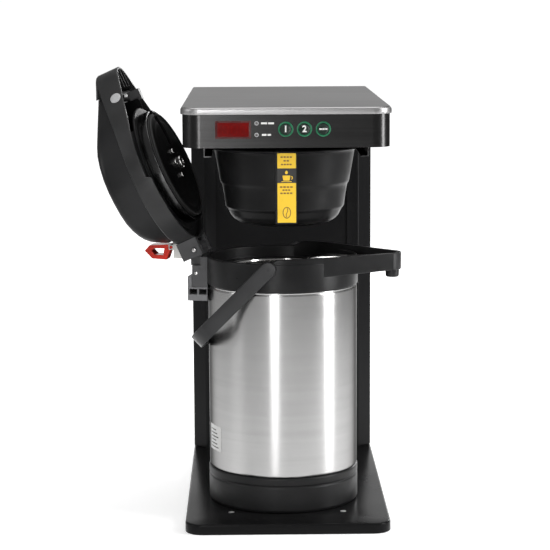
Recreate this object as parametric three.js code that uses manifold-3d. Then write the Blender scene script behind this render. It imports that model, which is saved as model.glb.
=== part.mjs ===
// Airpot coffee brewer: a tall brewer on a flat base tray, and the pump airpot that stands under its basket.
// Millimetres, +Z up, +X to the right of the front, -Y towards the user.
// The origin is the centre of the base tray's underside.
import * as THREE from "three";
import { mergeVertices } from "three/addons/utils/BufferGeometryUtils.js";
import Module from "manifold-3d";

const wasm = await Module();
wasm.setup();

// ---------------------------------------------------------------- driving dimensions
const GAP = 0.3; // clearance between pieces that touch
const SHEET = 1.5; // folded sheet thickness

// Brewer body
const DEPTH = 470; // front to back, over the base tray and the cover
const FRONT = -DEPTH / 2;
const BACK = DEPTH / 2;
const HALF_WIDTH = 114;
const CORNER_R = 20; // front corners of the tray, the fascia and the cover
const BASE_H = 11.6;
const COLUMN_FRONT = FRONT + 361; // face of the column's front flanges
const CHAMFER = 17; // column front corner, 45 degrees
const FLANGE_INNER = 83; // half width of the opening between the column's front flanges
const HEAD_FLOOR = 426.3; // underside of the head
const FASCIA_TOP = 461.7;
const COVER_BOTTOM = 462.1;
const COVER_TOP = 469.8;
const FASCIA_HALF = 112;
const FASCIA_FRONT = FRONT + 2;
const FASCIA_WRAP = 85; // how far the fascia runs back along the sides

// Control panel, on the fascia
const PANEL_Z = 446.3;
const WINDOW = { x0: -76.3, x1: -37.9, z0: 436.4, z1: 455.5 };
const LAMP_X = -32;
const LAMP_ZS = [452.7, 440.4];
const BUTTON_XS = [-0.9, 19.2, 39.4];
const BUTTON_HOLE_R = 7.5;
const RING_R = 8.2;
const RING_BORE_R = 6.3;
const BUTTON_R = 6;
const BUTTON_TRAVEL = 1.2;

// Brew basket and its rails
const BREW_Y = FRONT + 126; // axis of the spray head, the basket and the airpot
const BASKET_RIM_R = 86;
const BASKET_RIM_TOP = 420.2;
const BASKET_BOTTOM = 329.5;
const HANDLE_HALF = 11.6;
const RAIL_X = 88; // inner face of each rail's web
const RAIL_LIP_X = 80.8;
const RAIL_Z = 414.8;

// Airpot, in its own frame: +X towards the spout, the pot's axis at x = y = 0
const POT_X = -3;
const POT_TURN = THREE.MathUtils.degToRad(-11);
const POT_R = 85.1;
const POT_FOOT_Z = BASE_H + GAP;
const STEEL_Z0 = 52.9;
const STEEL_Z1 = 262.2;
const COLLAR_R = 86;
const COLLAR_Z0 = 262.5;
const COLLAR_RIM = 294.5;
const WALL_TOP = 300; // top of the spout trough's side walls
const FLOOR_Z = 281; // collar floor, round the neck
const SPOUT_NOSE = { x: 117, r: 19 };
const OUTLET_X = 126.5;
const TROUGH_R = 85.2; // the trough's side walls grow out of the collar's round wall
const NECK_R = 62;
const BAIL_Z = 289;
const BAIL_DROP = THREE.MathUtils.degToRad(45); // the bail rests this far below level
const BAIL_WIDTH = 17;
const BAIL_THICK = 3.5;
const STUD_R = 4.5;

// Lid, drawn closed in the airpot's frame, then swung open about its hinge
const HINGE = { x: -98, z: 301 };
const LID_OPEN = THREE.MathUtils.degToRad(114);
const LID_R = 88;
const LID_NOSE = { x: 104.5, r: 24 };
const LID_RIM = 295;
const LEVER_PIN = { x: 95, z: 309 };
const LEVER_END_X = 101.5;
const PIN_R = 2.5;
const PIN_HOLE_R = 2.9;
const LID_WALL = 2.6;
const CAP_R = 6.5; // caps over the ends of the lever's pin
// Height of the pump lever's top along the lid's length, from the hinge end to the nose
const LID_CROWN = [
  [-90, 319],
  [-86, 325.5],
  [-77, 333.5],
  [-69, 342],
  [-60, 346.5],
  [-42, 350],
  [-24, 350.5],
  [8.5, 350.5],
  [23, 350],
  [44.5, 348],
  [70.6, 341.5],
  [106, 332],
  [130, 327.5],
];
// Height of the side wall that the lever stands out of
const LID_WALL_TOP = [
  [-90, 317],
  [35, 317],
  [56, 319],
  [73, 321.5],
  [96, 325.5],
  [106, 327],
];

const ROUND = 40; // sides of a large round piece
const SMALL_ROUND = 16; // sides of a pin, a hole or a button

// ---------------------------------------------------------------- solids
function solid(geometry) {
  const bare = geometry.clone();
  bare.deleteAttribute("normal");
  bare.deleteAttribute("uv");
  const merged = mergeVertices(bare, 1e-3);
  return new wasm.Manifold(
    new wasm.Mesh({
      numProp: 3,
      vertProperties: merged.attributes.position.array,
      triVerts: new Uint32Array(merged.index.array),
    }),
  );
}

function geometryOf(manifold) {
  const mesh = manifold.getMesh();
  const geometry = new THREE.BufferGeometry();
  const positions = new Float32Array(mesh.numVert * 3);
  for (let i = 0; i < mesh.numVert; i++) {
    for (let k = 0; k < 3; k++) {
      positions[3 * i + k] = mesh.vertProperties[mesh.numProp * i + k];
    }
  }
  geometry.setAttribute("position", new THREE.BufferAttribute(positions, 3));
  geometry.setIndex(new THREE.BufferAttribute(mesh.triVerts, 1));
  return geometry.toNonIndexed();
}

const join = (first, ...rest) => rest.reduce((all, s) => all.add(s), first);
const cut = (first, ...tools) => tools.reduce((left, s) => left.subtract(s), first);

// A box between two corners.
function box(x0, x1, y0, y1, z0, z1) {
  const g = new THREE.BoxGeometry(x1 - x0, y1 - y0, z1 - z0);
  g.translate((x0 + x1) / 2, (y0 + y1) / 2, (z0 + z1) / 2);
  return solid(g);
}

// A round bar between two points on a line parallel to an axis.
function bar(axis, centre, r, from, to, sides = SMALL_ROUND) {
  const g = new THREE.CylinderGeometry(r, r, to - from, sides);
  if (axis === "x") g.rotateZ(Math.PI / 2);
  if (axis === "z") g.rotateX(Math.PI / 2);
  const mid = (from + to) / 2;
  const [a, b] = centre;
  if (axis === "x") g.translate(mid, a, b);
  if (axis === "y") g.translate(a, mid, b);
  if (axis === "z") g.translate(a, b, mid);
  return solid(g);
}

// An [x, y] outline raised from z0 to z1.
function raise(outline, z0, z1) {
  const shape = new THREE.Shape(outline.map(([x, y]) => new THREE.Vector2(x, y)));
  const g = new THREE.ExtrudeGeometry(shape, { depth: z1 - z0, bevelEnabled: false });
  g.translate(0, 0, z0);
  return solid(g);
}

// An [x, z] outline drawn through from y0 to y1.
function through(outline, y0, y1) {
  const shape = new THREE.Shape(outline.map(([x, z]) => new THREE.Vector2(x, z)));
  const g = new THREE.ExtrudeGeometry(shape, { depth: y1 - y0, bevelEnabled: false });
  g.rotateX(Math.PI / 2);
  g.translate(0, y1, 0);
  return solid(g);
}

// An [r, z] profile turned about a vertical axis. A ring's profile closes on itself.
function turn(profile, { sides = ROUND, x = 0, y = 0, ring = false } = {}) {
  const points = profile.map(([r, z]) => new THREE.Vector2(r, z));
  if (ring) points.push(points[0].clone());
  const g = new THREE.LatheGeometry(points, sides);
  g.rotateX(Math.PI / 2);
  g.translate(x, y, 0);
  const made = solid(g);
  return made.volume() < 0 ? turned(profile, { sides, x, y, ring }) : made;
}

// The same profile, run the other way round.
function turned(profile, options) {
  return turn([...profile].reverse(), options);
}

// A round tube or rod along a smooth curve.
function rod(points, r, sides, steps, bore = 0) {
  const section = new THREE.Shape();
  section.absarc(0, 0, r, 0, 2 * Math.PI, false);
  if (bore) {
    const hole = new THREE.Path();
    hole.absarc(0, 0, bore, 0, 2 * Math.PI, true);
    section.holes.push(hole);
  }
  const path = new THREE.CatmullRomCurve3(points.map((p) => new THREE.Vector3(...p)));
  const settings = { steps, extrudePath: path, curveSegments: Math.ceil(sides / 2) };
  return solid(new THREE.ExtrudeGeometry(section, settings));
}

// Points of a circular arc, both ends included.
function arc(cx, cy, r, from, to, steps) {
  return Array.from({ length: steps + 1 }, (_, i) => {
    const a = from + ((to - from) * i) / steps;
    return [cx + r * Math.cos(a), cy + r * Math.sin(a)];
  });
}

// A rectangle whose two front corners are round.
function frontRounded(half, front, back, r) {
  return [
    [half, back],
    [-half, back],
    ...arc(-half + r, front + r, r, Math.PI, 1.5 * Math.PI, 8),
    ...arc(half - r, front + r, r, 1.5 * Math.PI, 2 * Math.PI, 8),
  ];
}

// A circle about the origin drawn out to a smaller round nose along +X.
function teardrop(r, nose, inset = 0, steps = 22) {
  const big = r - inset;
  const small = nose.r - inset;
  const touch = Math.acos((big - small) / nose.x);
  return [
    ...arc(0, 0, big, touch, 2 * Math.PI - touch, steps),
    ...arc(nose.x, 0, small, -touch, touch, 8),
  ];
}

// ---------------------------------------------------------------- scene graph
const brewer = new THREE.Group();
const pot = new THREE.Group();
pot.position.set(POT_X, BREW_Y, 0);
pot.rotation.z = POT_TURN;

const lidPivot = new THREE.Group();
lidPivot.position.set(HINGE.x, 0, HINGE.z);
lidPivot.rotation.y = -LID_OPEN;
const lid = new THREE.Group();
lid.position.set(-HINGE.x, 0, -HINGE.z);
lidPivot.add(lid);
pot.add(lidPivot);
brewer.add(pot);

const FINISH = {
  blackSheet: { color: 0x161617, roughness: 0.38, metalness: 0.1 },
  brushed: { color: 0xc4c5c6, roughness: 0.3, metalness: 1 },
  fascia: { color: 0x4c4c4e, roughness: 0.4, metalness: 0.9 },
  blackPlastic: { color: 0x101011, roughness: 0.35, metalness: 0 },
  greyPlastic: { color: 0x2e2e30, roughness: 0.45, metalness: 0 },
  paleGrey: { color: 0x8d8f90, roughness: 0.5, metalness: 0 },
  redLens: { color: 0x6c0404, roughness: 0.15, metalness: 0 },
  green: { color: 0x1f7d4a, roughness: 0.4, metalness: 0 },
  red: { color: 0xd02412, roughness: 0.35, metalness: 0 },
  board: { color: 0x1c5a34, roughness: 0.6, metalness: 0 },
  rubber: { color: 0x1a1a1a, roughness: 0.8, metalness: 0 },
  brass: { color: 0xb08d4a, roughness: 0.35, metalness: 1 },
  white: { color: 0xe6e4dc, roughness: 0.5, metalness: 0 },
};

function place(group, name, manifold, finish) {
  const mesh = new THREE.Mesh(
    geometryOf(manifold),
    new THREE.MeshStandardMaterial(FINISH[finish]),
  );
  mesh.name = name;
  group.add(mesh);
}

// ---------------------------------------------------------------- base
const SCREW_X = 63;
const SCREW_Y = FRONT + 53;
const SCREW_HEAD_R = 3.4; // the heads sit flush, so that the airpot slides over them

function buildBase() {
  const skin = raise(frontRounded(HALF_WIDTH, FRONT, BACK, CORNER_R), 0, BASE_H);
  const inset = HALF_WIDTH - SHEET;
  const hollow = raise(
    frontRounded(inset, FRONT + SHEET, BACK - SHEET, CORNER_R - SHEET),
    -1,
    BASE_H - SHEET,
  );
  const holes = [-SCREW_X, SCREW_X].map((x) => bar("z", [x, SCREW_Y], SCREW_HEAD_R + GAP, 5, 20));
  place(brewer, "base_tray", cut(skin, hollow, ...holes), "blackSheet");

  const plateInset = SHEET + GAP;
  const plate = raise(
    frontRounded(HALF_WIDTH - plateInset, FRONT + plateInset, BACK - plateInset, CORNER_R - plateInset),
    0,
    2,
  );
  place(brewer, "base_bottom_plate", plate, "blackSheet");

  [-SCREW_X, SCREW_X].forEach((x, i) => {
    const profile = [
      [0, 4],
      [2, 4],
      [2, BASE_H - SHEET],
      [SCREW_HEAD_R, BASE_H - SHEET],
      [SCREW_HEAD_R, BASE_H],
      [0, BASE_H],
    ];
    const screw = turn(profile, { sides: SMALL_ROUND, x, y: SCREW_Y });
    place(brewer, `base_screw_${i + 1}`, screw, "brushed");
  });
}

// ---------------------------------------------------------------- column
const COLUMN_Z0 = BASE_H + GAP;
const COLUMN_Z1 = HEAD_FLOOR + 0.4;
const INLET = { x: 55, z: 62 };
const GLAND = { x: -60, z: 62 };

function columnOutline(inset) {
  const side = HALF_WIDTH - inset;
  const front = COLUMN_FRONT + inset;
  const corner = HALF_WIDTH - CHAMFER - inset * Math.tan(Math.PI / 8);
  const shoulder = COLUMN_FRONT + CHAMFER + inset * Math.tan(Math.PI / 8);
  return [
    [-side, BACK - inset],
    [-side, shoulder],
    [-corner, front],
    [corner, front],
    [side, shoulder],
    [side, BACK - inset],
  ];
}

function buildColumn() {
  const skin = raise(columnOutline(0), COLUMN_Z0, COLUMN_Z1);
  const hollow = raise(columnOutline(SHEET), 0, 500);
  const mouth = box(-FLANGE_INNER, FLANGE_INNER, COLUMN_FRONT - 5, COLUMN_FRONT + 5, 0, 500);
  const inletHole = bar("y", [INLET.x, INLET.z], 8.5, BACK - 10, BACK + 5);
  const glandHole = bar("y", [GLAND.x, GLAND.z], 9, BACK - 10, BACK + 5);
  place(brewer, "column_shell", cut(skin, hollow, mouth, inletHole, glandHole), "blackSheet");

  const panelFront = COLUMN_FRONT + SHEET + GAP;
  const overlap = 9; // the front panel reaches this far behind each flange
  const half = FLANGE_INNER + overlap;
  const panel = box(-half, half, panelFront, panelFront + SHEET, COLUMN_Z0, COLUMN_Z1);
  place(brewer, "column_front_panel", panel, "blackSheet");
}

// ---------------------------------------------------------------- head
const SPRAY_HOLE_R = 12;
const PAN_HALF = 110;
const PAN_FRONT = FRONT + 4;
const PAN_Z0 = COLUMN_Z1 + GAP;
const PAN_Z1 = 460.5;

function buildHead() {
  const pan = raise(frontRounded(PAN_HALF, PAN_FRONT, BACK - 2, 18), PAN_Z0, PAN_Z1);
  const inside = raise(
    frontRounded(PAN_HALF - SHEET, PAN_FRONT + SHEET, BACK - 2 - SHEET, 18 - SHEET),
    PAN_Z0 + SHEET,
    500,
  );
  const panelMouth = box(-80, 52, PAN_FRONT - 5, PAN_FRONT + 5, 433, 459);
  const sprayHole = bar("z", [0, BREW_Y], SPRAY_HOLE_R, 400, 440, 24);
  const columnMouth = box(-88, 88, COLUMN_FRONT + 12, BACK - 12, 400, 440);
  place(brewer, "head_pan", cut(pan, inside, panelMouth, sprayHole, columnMouth), "blackSheet");

  const wrapBack = FRONT + FASCIA_WRAP;
  const outer = raise(
    frontRounded(FASCIA_HALF, FASCIA_FRONT, wrapBack, CORNER_R),
    HEAD_FLOOR,
    FASCIA_TOP,
  );
  const inner = raise(
    frontRounded(FASCIA_HALF - SHEET, FASCIA_FRONT + SHEET, wrapBack + 5, CORNER_R - SHEET),
    0,
    500,
  );
  const windowHole = box(WINDOW.x0, WINDOW.x1, FRONT - 5, FRONT + 8, WINDOW.z0, WINDOW.z1);
  const lampHoles = LAMP_ZS.map((z) => bar("y", [LAMP_X, z], 1.7, FRONT - 5, FRONT + 8, 10));
  const buttonHoles = BUTTON_XS.map((x) =>
    bar("y", [x, PANEL_Z], BUTTON_HOLE_R, FRONT - 5, FRONT + 8, 24),
  );
  place(brewer, "fascia", cut(outer, inner, windowHole, ...lampHoles, ...buttonHoles), "fascia");

  const coverSheet = 1.2;
  const cover = raise(frontRounded(HALF_WIDTH, FRONT, BACK, CORNER_R + 2), COVER_BOTTOM, COVER_TOP);
  const under = raise(
    frontRounded(
      HALF_WIDTH - coverSheet,
      FRONT + coverSheet,
      BACK - coverSheet,
      CORNER_R + 2 - coverSheet,
    ),
    0,
    COVER_TOP - coverSheet,
  );
  place(brewer, "top_cover", cut(cover, under), "brushed");
}

// ---------------------------------------------------------------- control panel
const BOARD_Y = FRONT + 12;

function buildControls() {
  const inFascia = FASCIA_FRONT + 0.2;
  const lens = box(
    WINDOW.x0 + GAP,
    WINDOW.x1 - GAP,
    inFascia,
    inFascia + 3,
    WINDOW.z0 + GAP,
    WINDOW.z1 - GAP,
  );
  place(brewer, "display_window", lens, "redLens");

  const moduleInset = 2;
  const module = box(
    WINDOW.x0 + moduleInset,
    WINDOW.x1 - moduleInset,
    inFascia + 3 + GAP,
    BOARD_Y - GAP,
    WINDOW.z0 + moduleInset,
    WINDOW.z1 - moduleInset,
  );
  place(brewer, "display_module", module, "blackPlastic");

  const board = box(-79, 51, BOARD_Y, BOARD_Y + 1.6, 434, 458);
  place(brewer, "control_board", board, "board");

  const lampNames = ["brewing_lamp", "ready_lamp"];
  LAMP_ZS.forEach((z, i) => {
    const lamp = bar("y", [LAMP_X, z], 1.4, FASCIA_FRONT, BOARD_Y - GAP, 10);
    place(brewer, lampNames[i], lamp, "white");
  });

  const buttonNames = ["brew_button_1", "brew_button_2", "stop_button"];
  const ringFront = FASCIA_FRONT - 1.1;
  BUTTON_XS.forEach((x, i) => {
    const flange = bar("y", [x, PANEL_Z], RING_R, ringFront, FASCIA_FRONT - GAP, 24);
    const sleeve = bar("y", [x, PANEL_Z], BUTTON_HOLE_R - GAP, FASCIA_FRONT - GAP, FRONT + 7, 24);
    const bore = bar("y", [x, PANEL_Z], RING_BORE_R, FRONT - 5, FRONT + 10, 24);
    place(brewer, `button_ring_${i + 1}`, cut(join(flange, sleeve), bore), "green");

    const capFront = ringFront - 0.6;
    const capBack = BOARD_Y - BUTTON_TRAVEL - 0.6;
    const cap = bar("y", [x, PANEL_Z], BUTTON_R, capFront, capBack, 24);
    place(brewer, buttonNames[i], cap, "blackPlastic");
  });
}

// ---------------------------------------------------------------- basket
const BASKET_OUTSIDE = [
  [BASKET_RIM_R, BASKET_RIM_TOP],
  [BASKET_RIM_R, 417.2],
  [79.4, 416.4],
  [78.8, 413],
  [72.8, 377.5],
  [71, 376],
  [67.2, 351],
  [64.8, 349.2],
  [61, 341],
  [54, 334.6],
  [38, 330.6],
  [12, BASKET_BOTTOM],
  [5, BASKET_BOTTOM],
];
const BASKET_INSIDE = [
  [5, BASKET_BOTTOM + 2.5],
  [37, BASKET_BOTTOM + 3.6],
  [52.5, 337],
  [58.6, 342.6],
  [62.2, 350.6],
  [64.8, 352.4],
  [68.4, 378],
  [70, 379.5],
  [76.4, 416],
  [76.4, BASKET_RIM_TOP],
];

function buildBasket() {
  const body = turn([...BASKET_OUTSIDE, ...BASKET_INSIDE], { y: BREW_Y, ring: true, sides: 48 });
  place(brewer, "brew_basket", body, "blackPlastic");

  const frontFace = BREW_Y - 98;
  const strapBack = frontFace + 8;
  const strap = box(-HANDLE_HALF, HANDLE_HALF, frontFace, strapBack, 340.5, 421);
  const topPad = box(-HANDLE_HALF, HANDLE_HALF, strapBack - 1, BREW_Y - 70, 404, 421);
  const bottomPad = box(-HANDLE_HALF, HANDLE_HALF, strapBack - 1, BREW_Y - 50, 340.5, 352);
  const hull = BASKET_OUTSIDE.map(([r, z]) => [r + 0.4, z > 418 ? z + 2 : z]);
  const keepOut = turn([[0, 422.2], ...hull.slice(0, -1), [0, BASKET_BOTTOM]], { y: BREW_Y, sides: 48 });
  place(brewer, "basket_handle", cut(join(strap, topPad, bottomPad), keepOut), "blackPlastic");

  const railFront = FRONT + 20;
  const railBack = FRONT + 232;
  ["left", "right"].forEach((side, i) => {
    const s = i ? 1 : -1;
    const section = [
      [RAIL_LIP_X, RAIL_Z],
      [RAIL_X + SHEET, RAIL_Z],
      [RAIL_X + SHEET, PAN_Z0 - GAP - SHEET],
      [RAIL_X + 12, PAN_Z0 - GAP - SHEET],
      [RAIL_X + 12, PAN_Z0 - GAP],
      [RAIL_X, PAN_Z0 - GAP],
      [RAIL_X, RAIL_Z + SHEET],
      [RAIL_LIP_X, RAIL_Z + SHEET],
    ].map(([x, z]) => [s * x, z]);
    place(brewer, `basket_rail_${side}`, through(section, railFront, railBack), "blackSheet");
  });
}

// ---------------------------------------------------------------- water side
const TANK = { x: 92, y0: 143, y1: 226, z0: 245, z1: 415 };
const LID_TOP = TANK.z1 + GAP + 2.5;
const BREW_OUT_Y = 165;
const ELEMENT = { x: 50, y: 190, r: 4 };
const PROBE = { x: 72, y: 165, r: 2.5 };

function buildWater() {
  const shell = box(-TANK.x, TANK.x, TANK.y0, TANK.y1, TANK.z0, TANK.z1);
  const inside = box(
    -TANK.x + SHEET,
    TANK.x - SHEET,
    TANK.y0 + SHEET,
    TANK.y1 - SHEET,
    TANK.z0 + SHEET,
    TANK.z1 + 5,
  );
  place(brewer, "water_tank", cut(shell, inside), "brushed");

  const plate = box(-TANK.x, TANK.x, TANK.y0, TANK.y1, TANK.z1 + GAP, LID_TOP);
  const elementHoles = [-1, 1].map((s) =>
    bar("z", [s * ELEMENT.x, ELEMENT.y], ELEMENT.r + 0.5, 400, 440, 12),
  );
  const probeHole = bar("z", [PROBE.x, PROBE.y], PROBE.r + 0.5, 400, 440, 12);
  place(brewer, "tank_lid", cut(plate, ...elementHoles, probeHole), "brushed");

  const { x, y, r } = ELEMENT;
  const elementPath = [
    [-x, y, 434],
    [-x, y, 380],
    [-x, y, 300],
    [-x + 14, y, 272],
    [0, y, 264],
    [x - 14, y, 272],
    [x, y, 300],
    [x, y, 380],
    [x, y, 434],
  ];
  place(brewer, "heating_element", rod(elementPath, r, 8, 36), "brass");

  const probe = [
    [0, 300],
    [PROBE.r, 300],
    [PROBE.r, LID_TOP + GAP],
    [6, LID_TOP + GAP],
    [6, LID_TOP + 6],
    [0, LID_TOP + 6],
  ];
  place(brewer, "temperature_probe", turn(probe, { sides: 12, x: PROBE.x, y: PROBE.y }), "brass");

  const sprayTop = 436;
  const spray = [
    [0, 421.4],
    [30, 421.4],
    [32, 422.6],
    [32, 425.4],
    [10, 426],
    [10, sprayTop],
    [0, sprayTop],
  ];
  place(brewer, "spray_head", turn(spray, { sides: 32, y: BREW_Y }), "brushed");

  const tubePath = [
    [0, BREW_OUT_Y, LID_TOP + GAP],
    [0, BREW_OUT_Y, 430],
    [0, BREW_OUT_Y - 8, 442],
    [0, BREW_OUT_Y - 26, 446],
    [0, 30, 446],
    [0, BREW_Y + 26, 446],
    [0, BREW_Y + 6, 444],
    [0, BREW_Y, 440],
    [0, BREW_Y, sprayTop + GAP],
  ];
  place(brewer, "brew_tube", rod(tubePath, 5, 10, 40), "white");

  const valveTop = 88;
  const valve = join(
    box(INLET.x - 14, INLET.x + 14, 186, 222, INLET.z - 14, INLET.z + 14),
    bar("z", [INLET.x, 204], 7, INLET.z, valveTop, 16),
    box(INLET.x - 12, INLET.x + 12, 160, 190, INLET.z - 12, INLET.z + 12),
  );
  place(brewer, "inlet_valve", valve, "blackPlastic");

  const fitting = join(
    bar("y", [INLET.x, INLET.z], 8, 222 + GAP, BACK + 2, 16),
    bar("y", [INLET.x, INLET.z], 6, BACK + 1, BACK + 10, 16),
  );
  place(brewer, "inlet_fitting", fitting, "brass");

  const supplyPath = [
    [INLET.x, 204, valveTop + GAP],
    [INLET.x, 204, 110],
    [INLET.x - 4, 201, 150],
    [INLET.x - 21, 188, 195],
    [INLET.x - 25, 185, 225],
    [INLET.x - 25, 185, TANK.z0 - GAP],
  ];
  place(brewer, "inlet_tube", rod(supplyPath, 4.5, 10, 24), "white");

  const relay = box(GLAND.x - 26, GLAND.x + 26, 180, 214, 95, 150);
  place(brewer, "power_relay", relay, "blackPlastic");

  const gland = join(
    bar("y", [GLAND.x, GLAND.z], 8.5, BACK - 12, BACK + GAP, 20),
    bar("y", [GLAND.x, GLAND.z], 12, BACK + GAP, BACK + 5, 20),
  );
  const cordWay = bar("y", [GLAND.x, GLAND.z], 5, BACK - 20, BACK + 20, 16);
  place(brewer, "cord_gland", cut(gland, cordWay), "blackPlastic");
}

// ---------------------------------------------------------------- airpot body
function buildPotBody() {
  const foot = [
    [0, POT_FOOT_Z],
    [84, POT_FOOT_Z],
    [COLLAR_R, POT_FOOT_Z + 2.6],
    [COLLAR_R, STEEL_Z0 - GAP],
    [82, STEEL_Z0 - GAP],
    [82, POT_FOOT_Z + 4],
    [0, POT_FOOT_Z + 4],
  ];
  place(pot, "airpot_base_ring", turn(foot), "blackPlastic");

  const steel = [
    [0, STEEL_Z0],
    [POT_R, STEEL_Z0],
    [POT_R, STEEL_Z1],
    [POT_R - 1, STEEL_Z1],
    [POT_R - 1, STEEL_Z0 + 1],
    [0, STEEL_Z0 + 1],
  ];
  place(pot, "airpot_body", turn(steel, { sides: 48 }), "brushed");

  const flask = [
    [0, 57],
    [75, 57],
    [79, 61],
    [79, 241],
    [72, 258],
    [56, 270],
    [56, 282],
    [54.6, 282],
    [54.6, 269.3],
    [70.9, 257.1],
    [77.6, 240.7],
    [77.6, 61.6],
    [74.4, 58.4],
    [0, 58.4],
  ];
  place(pot, "airpot_liner", turn(flask), "brushed");
}

function buildCollar() {
  const ring = turn(
    [
      [COLLAR_R, COLLAR_Z0],
      [COLLAR_R, COLLAR_RIM],
      [82, COLLAR_RIM],
      [82, FLOOR_Z],
      [NECK_R, FLOOR_Z],
      [NECK_R, FLOOR_Z - 3],
      [82.5, FLOOR_Z - 3],
      [82.5, COLLAR_Z0],
    ],
    { ring: true, sides: 48 },
  );
  const underside = [
    [-4, 276],
    [SPOUT_NOSE.x + SPOUT_NOSE.r + 1, 281],
    [SPOUT_NOSE.x + SPOUT_NOSE.r + 1, WALL_TOP],
    [-4, WALL_TOP],
  ];
  const wall = raise(teardrop(TROUGH_R, SPOUT_NOSE), 270, 310).intersect(
    through(underside, -100, 100),
  );
  const channel = raise(teardrop(TROUGH_R, SPOUT_NOSE, 4), 284.5, 320).intersect(
    box(20, 200, -100, 100, 280, 330),
  );
  const potRoom = turn(
    [
      [0, 260],
      [82.5, 260],
      [82.5, FLOOR_Z - 3],
      [80, FLOOR_Z - 3],
      [80, 320],
      [0, 320],
    ],
    { sides: 48 },
  );
  const outlet = bar("z", [OUTLET_X, 0], 4.5, 250, 300, 12);
  const studHoles = [-1, 1].map((s) =>
    bar("y", [0, BAIL_Z], STUD_R + GAP, s > 0 ? 76 : -90, s > 0 ? 90 : -76, 12),
  );
  const trough = cut(wall, potRoom, outlet);
  place(pot, "airpot_collar", cut(join(ring, trough), channel, ...studHoles), "blackPlastic");

  const nozzle = cut(
    bar("z", [OUTLET_X, 0], 8, 271.5, 280, 20),
    bar("z", [OUTLET_X, 0], 4.5, 260, 300, 12),
  );
  place(pot, "spout_nozzle", nozzle, "blackPlastic");

  const neck = [
    [56.4, 275],
    [NECK_R - GAP, 275],
    [NECK_R - GAP, FLOOR_Z + GAP],
    [64.5, FLOOR_Z + GAP],
    [64.5, FLOOR_Z + 2],
    [56.4, FLOOR_Z + 2],
  ];
  place(pot, "neck_ring", turn(neck, { ring: true }), "brushed");

  const dip = [
    [30, 0, 66],
    [30, 0, 120],
    [30, 0, 200],
    [30, 0, 276],
  ];
  place(pot, "dip_tube", rod(dip, 4, 12, 3, 2.8), "paleGrey");

  const spoutPipe = [
    [30, 0, 276 + GAP],
    [30, 0, 284],
    [36, 0, 290.5],
    [50, 0, 292],
    [85, 0, 292],
    [OUTLET_X - 4, 0, 291],
  ];
  place(pot, "spout_pipe", rod(spoutPipe, 4.5, 12, 18), "brushed");
}

// ---------------------------------------------------------------- hinge and clasp
const LUG_HALF = 14.5;
const KNUCKLE_R = 7.5;

function buildHinge() {
  const { x, z } = HINGE;
  const foot = box(-100.8, -80, -24, 24, 258.5, 283);
  const shoulder = box(-91, -80, -24, 24, 282, 293);
  const web = box(-104, -91, -LUG_HALF, LUG_HALF, 282, z);
  const knuckle = bar("y", [x, z], KNUCKLE_R, -LUG_HALF, LUG_HALF, 20);
  const potRoom = bar("z", [0, 0], COLLAR_R + GAP, 200, 400, 48);
  const pinHole = bar("y", [x, z], PIN_HOLE_R, -40, 40, 12);
  place(pot, "hinge_lug", cut(join(foot, shoulder, web, knuckle), potRoom, pinHole), "greyPlastic");

  place(pot, "hinge_pin", bar("y", [x, z], PIN_R, -26.5, 26.5, 12), "brushed");

  const frame = box(-106.5, -80, -23, 23, 242, 258);
  const tab = box(-106.5, -101.3, -23, 23, 257, 270);
  const slots = [
    [-104.2, -95.4],
    [-92.9, -84.2],
  ].map(([x0, x1]) => box(x0, x1, -30, 30, 249.5, 255.5));
  place(pot, "clasp_frame", cut(join(frame, tab), potRoom, ...slots), "paleGrey");
}

// ---------------------------------------------------------------- bail
function bailCentreLine() {
  const half = 89.8;
  const side = [
    [0, half],
    [50, half],
    [92, half],
    [103, 88],
    [111, 83],
    [118, 74],
    [124, 58],
    [128.5, 36],
    [131.4, 14],
  ];
  return [...side, ...side.map(([r, y]) => [r, -y]).reverse()];
}

// Moves each point of an open line sideways by the same distance.
function offsetLine(line, distance) {
  return line.map((p, i) => {
    const a = line[Math.max(i - 1, 0)];
    const b = line[Math.min(i + 1, line.length - 1)];
    const length = Math.hypot(b[0] - a[0], b[1] - a[1]);
    return [p[0] + ((b[1] - a[1]) / length) * distance, p[1] - ((b[0] - a[0]) / length) * distance];
  });
}

function buildBail() {
  const line = bailCentreLine();
  const outside = offsetLine(line, -BAIL_THICK / 2);
  const inside = offsetLine(line, BAIL_THICK / 2);
  outside[0][0] = outside.at(-1)[0] = -BAIL_WIDTH;
  inside[0][0] = inside.at(-1)[0] = -BAIL_WIDTH;
  const half = BAIL_WIDTH / 2;
  const band = raise([...outside, ...inside.reverse()], -half, half);
  const sideView = [
    ...arc(0, 0, half, Math.PI / 2, 1.5 * Math.PI, 10),
    [160, -half],
    [160, half],
  ];
  const rounded = band.intersect(through(sideView, -100, 100));
  const innerFace = 89.8 - BAIL_THICK / 2;
  const studSockets = [-1, 1].map((s) => {
    const ends = [s * (innerFace - 1), s * (innerFace + 2.3)].sort((a, b) => a - b);
    return bar("y", [0, 0], STUD_R + GAP, ends[0], ends[1], 16);
  });
  const bail = new THREE.Group();
  bail.position.set(0, 0, BAIL_Z);
  bail.rotation.y = Math.PI - BAIL_DROP;
  place(bail, "bail_handle", cut(rounded, ...studSockets), "greyPlastic");
  pot.add(bail);

  ["front", "back"].forEach((name, i) => {
    const s = i ? 1 : -1;
    const ends = [s * 83, s * (innerFace + 2)].sort((a, b) => a - b);
    place(pot, `bail_stud_${name}`, bar("y", [0, BAIL_Z], STUD_R, ends[0], ends[1], 16), "blackPlastic");
  });
}

// ---------------------------------------------------------------- lid
// The lid's outline raised to a line of heights along its length.
function lidBody(inset, line, drop, floor) {
  const tall = raise(teardrop(LID_R, LID_NOSE, inset), floor, 400);
  const heights = line.map(([x, z]) => [x, z - drop]);
  const side = through([[line[0][0], floor], ...heights, [line.at(-1)[0], floor]], -100, 100);
  return tall.intersect(side);
}

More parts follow.
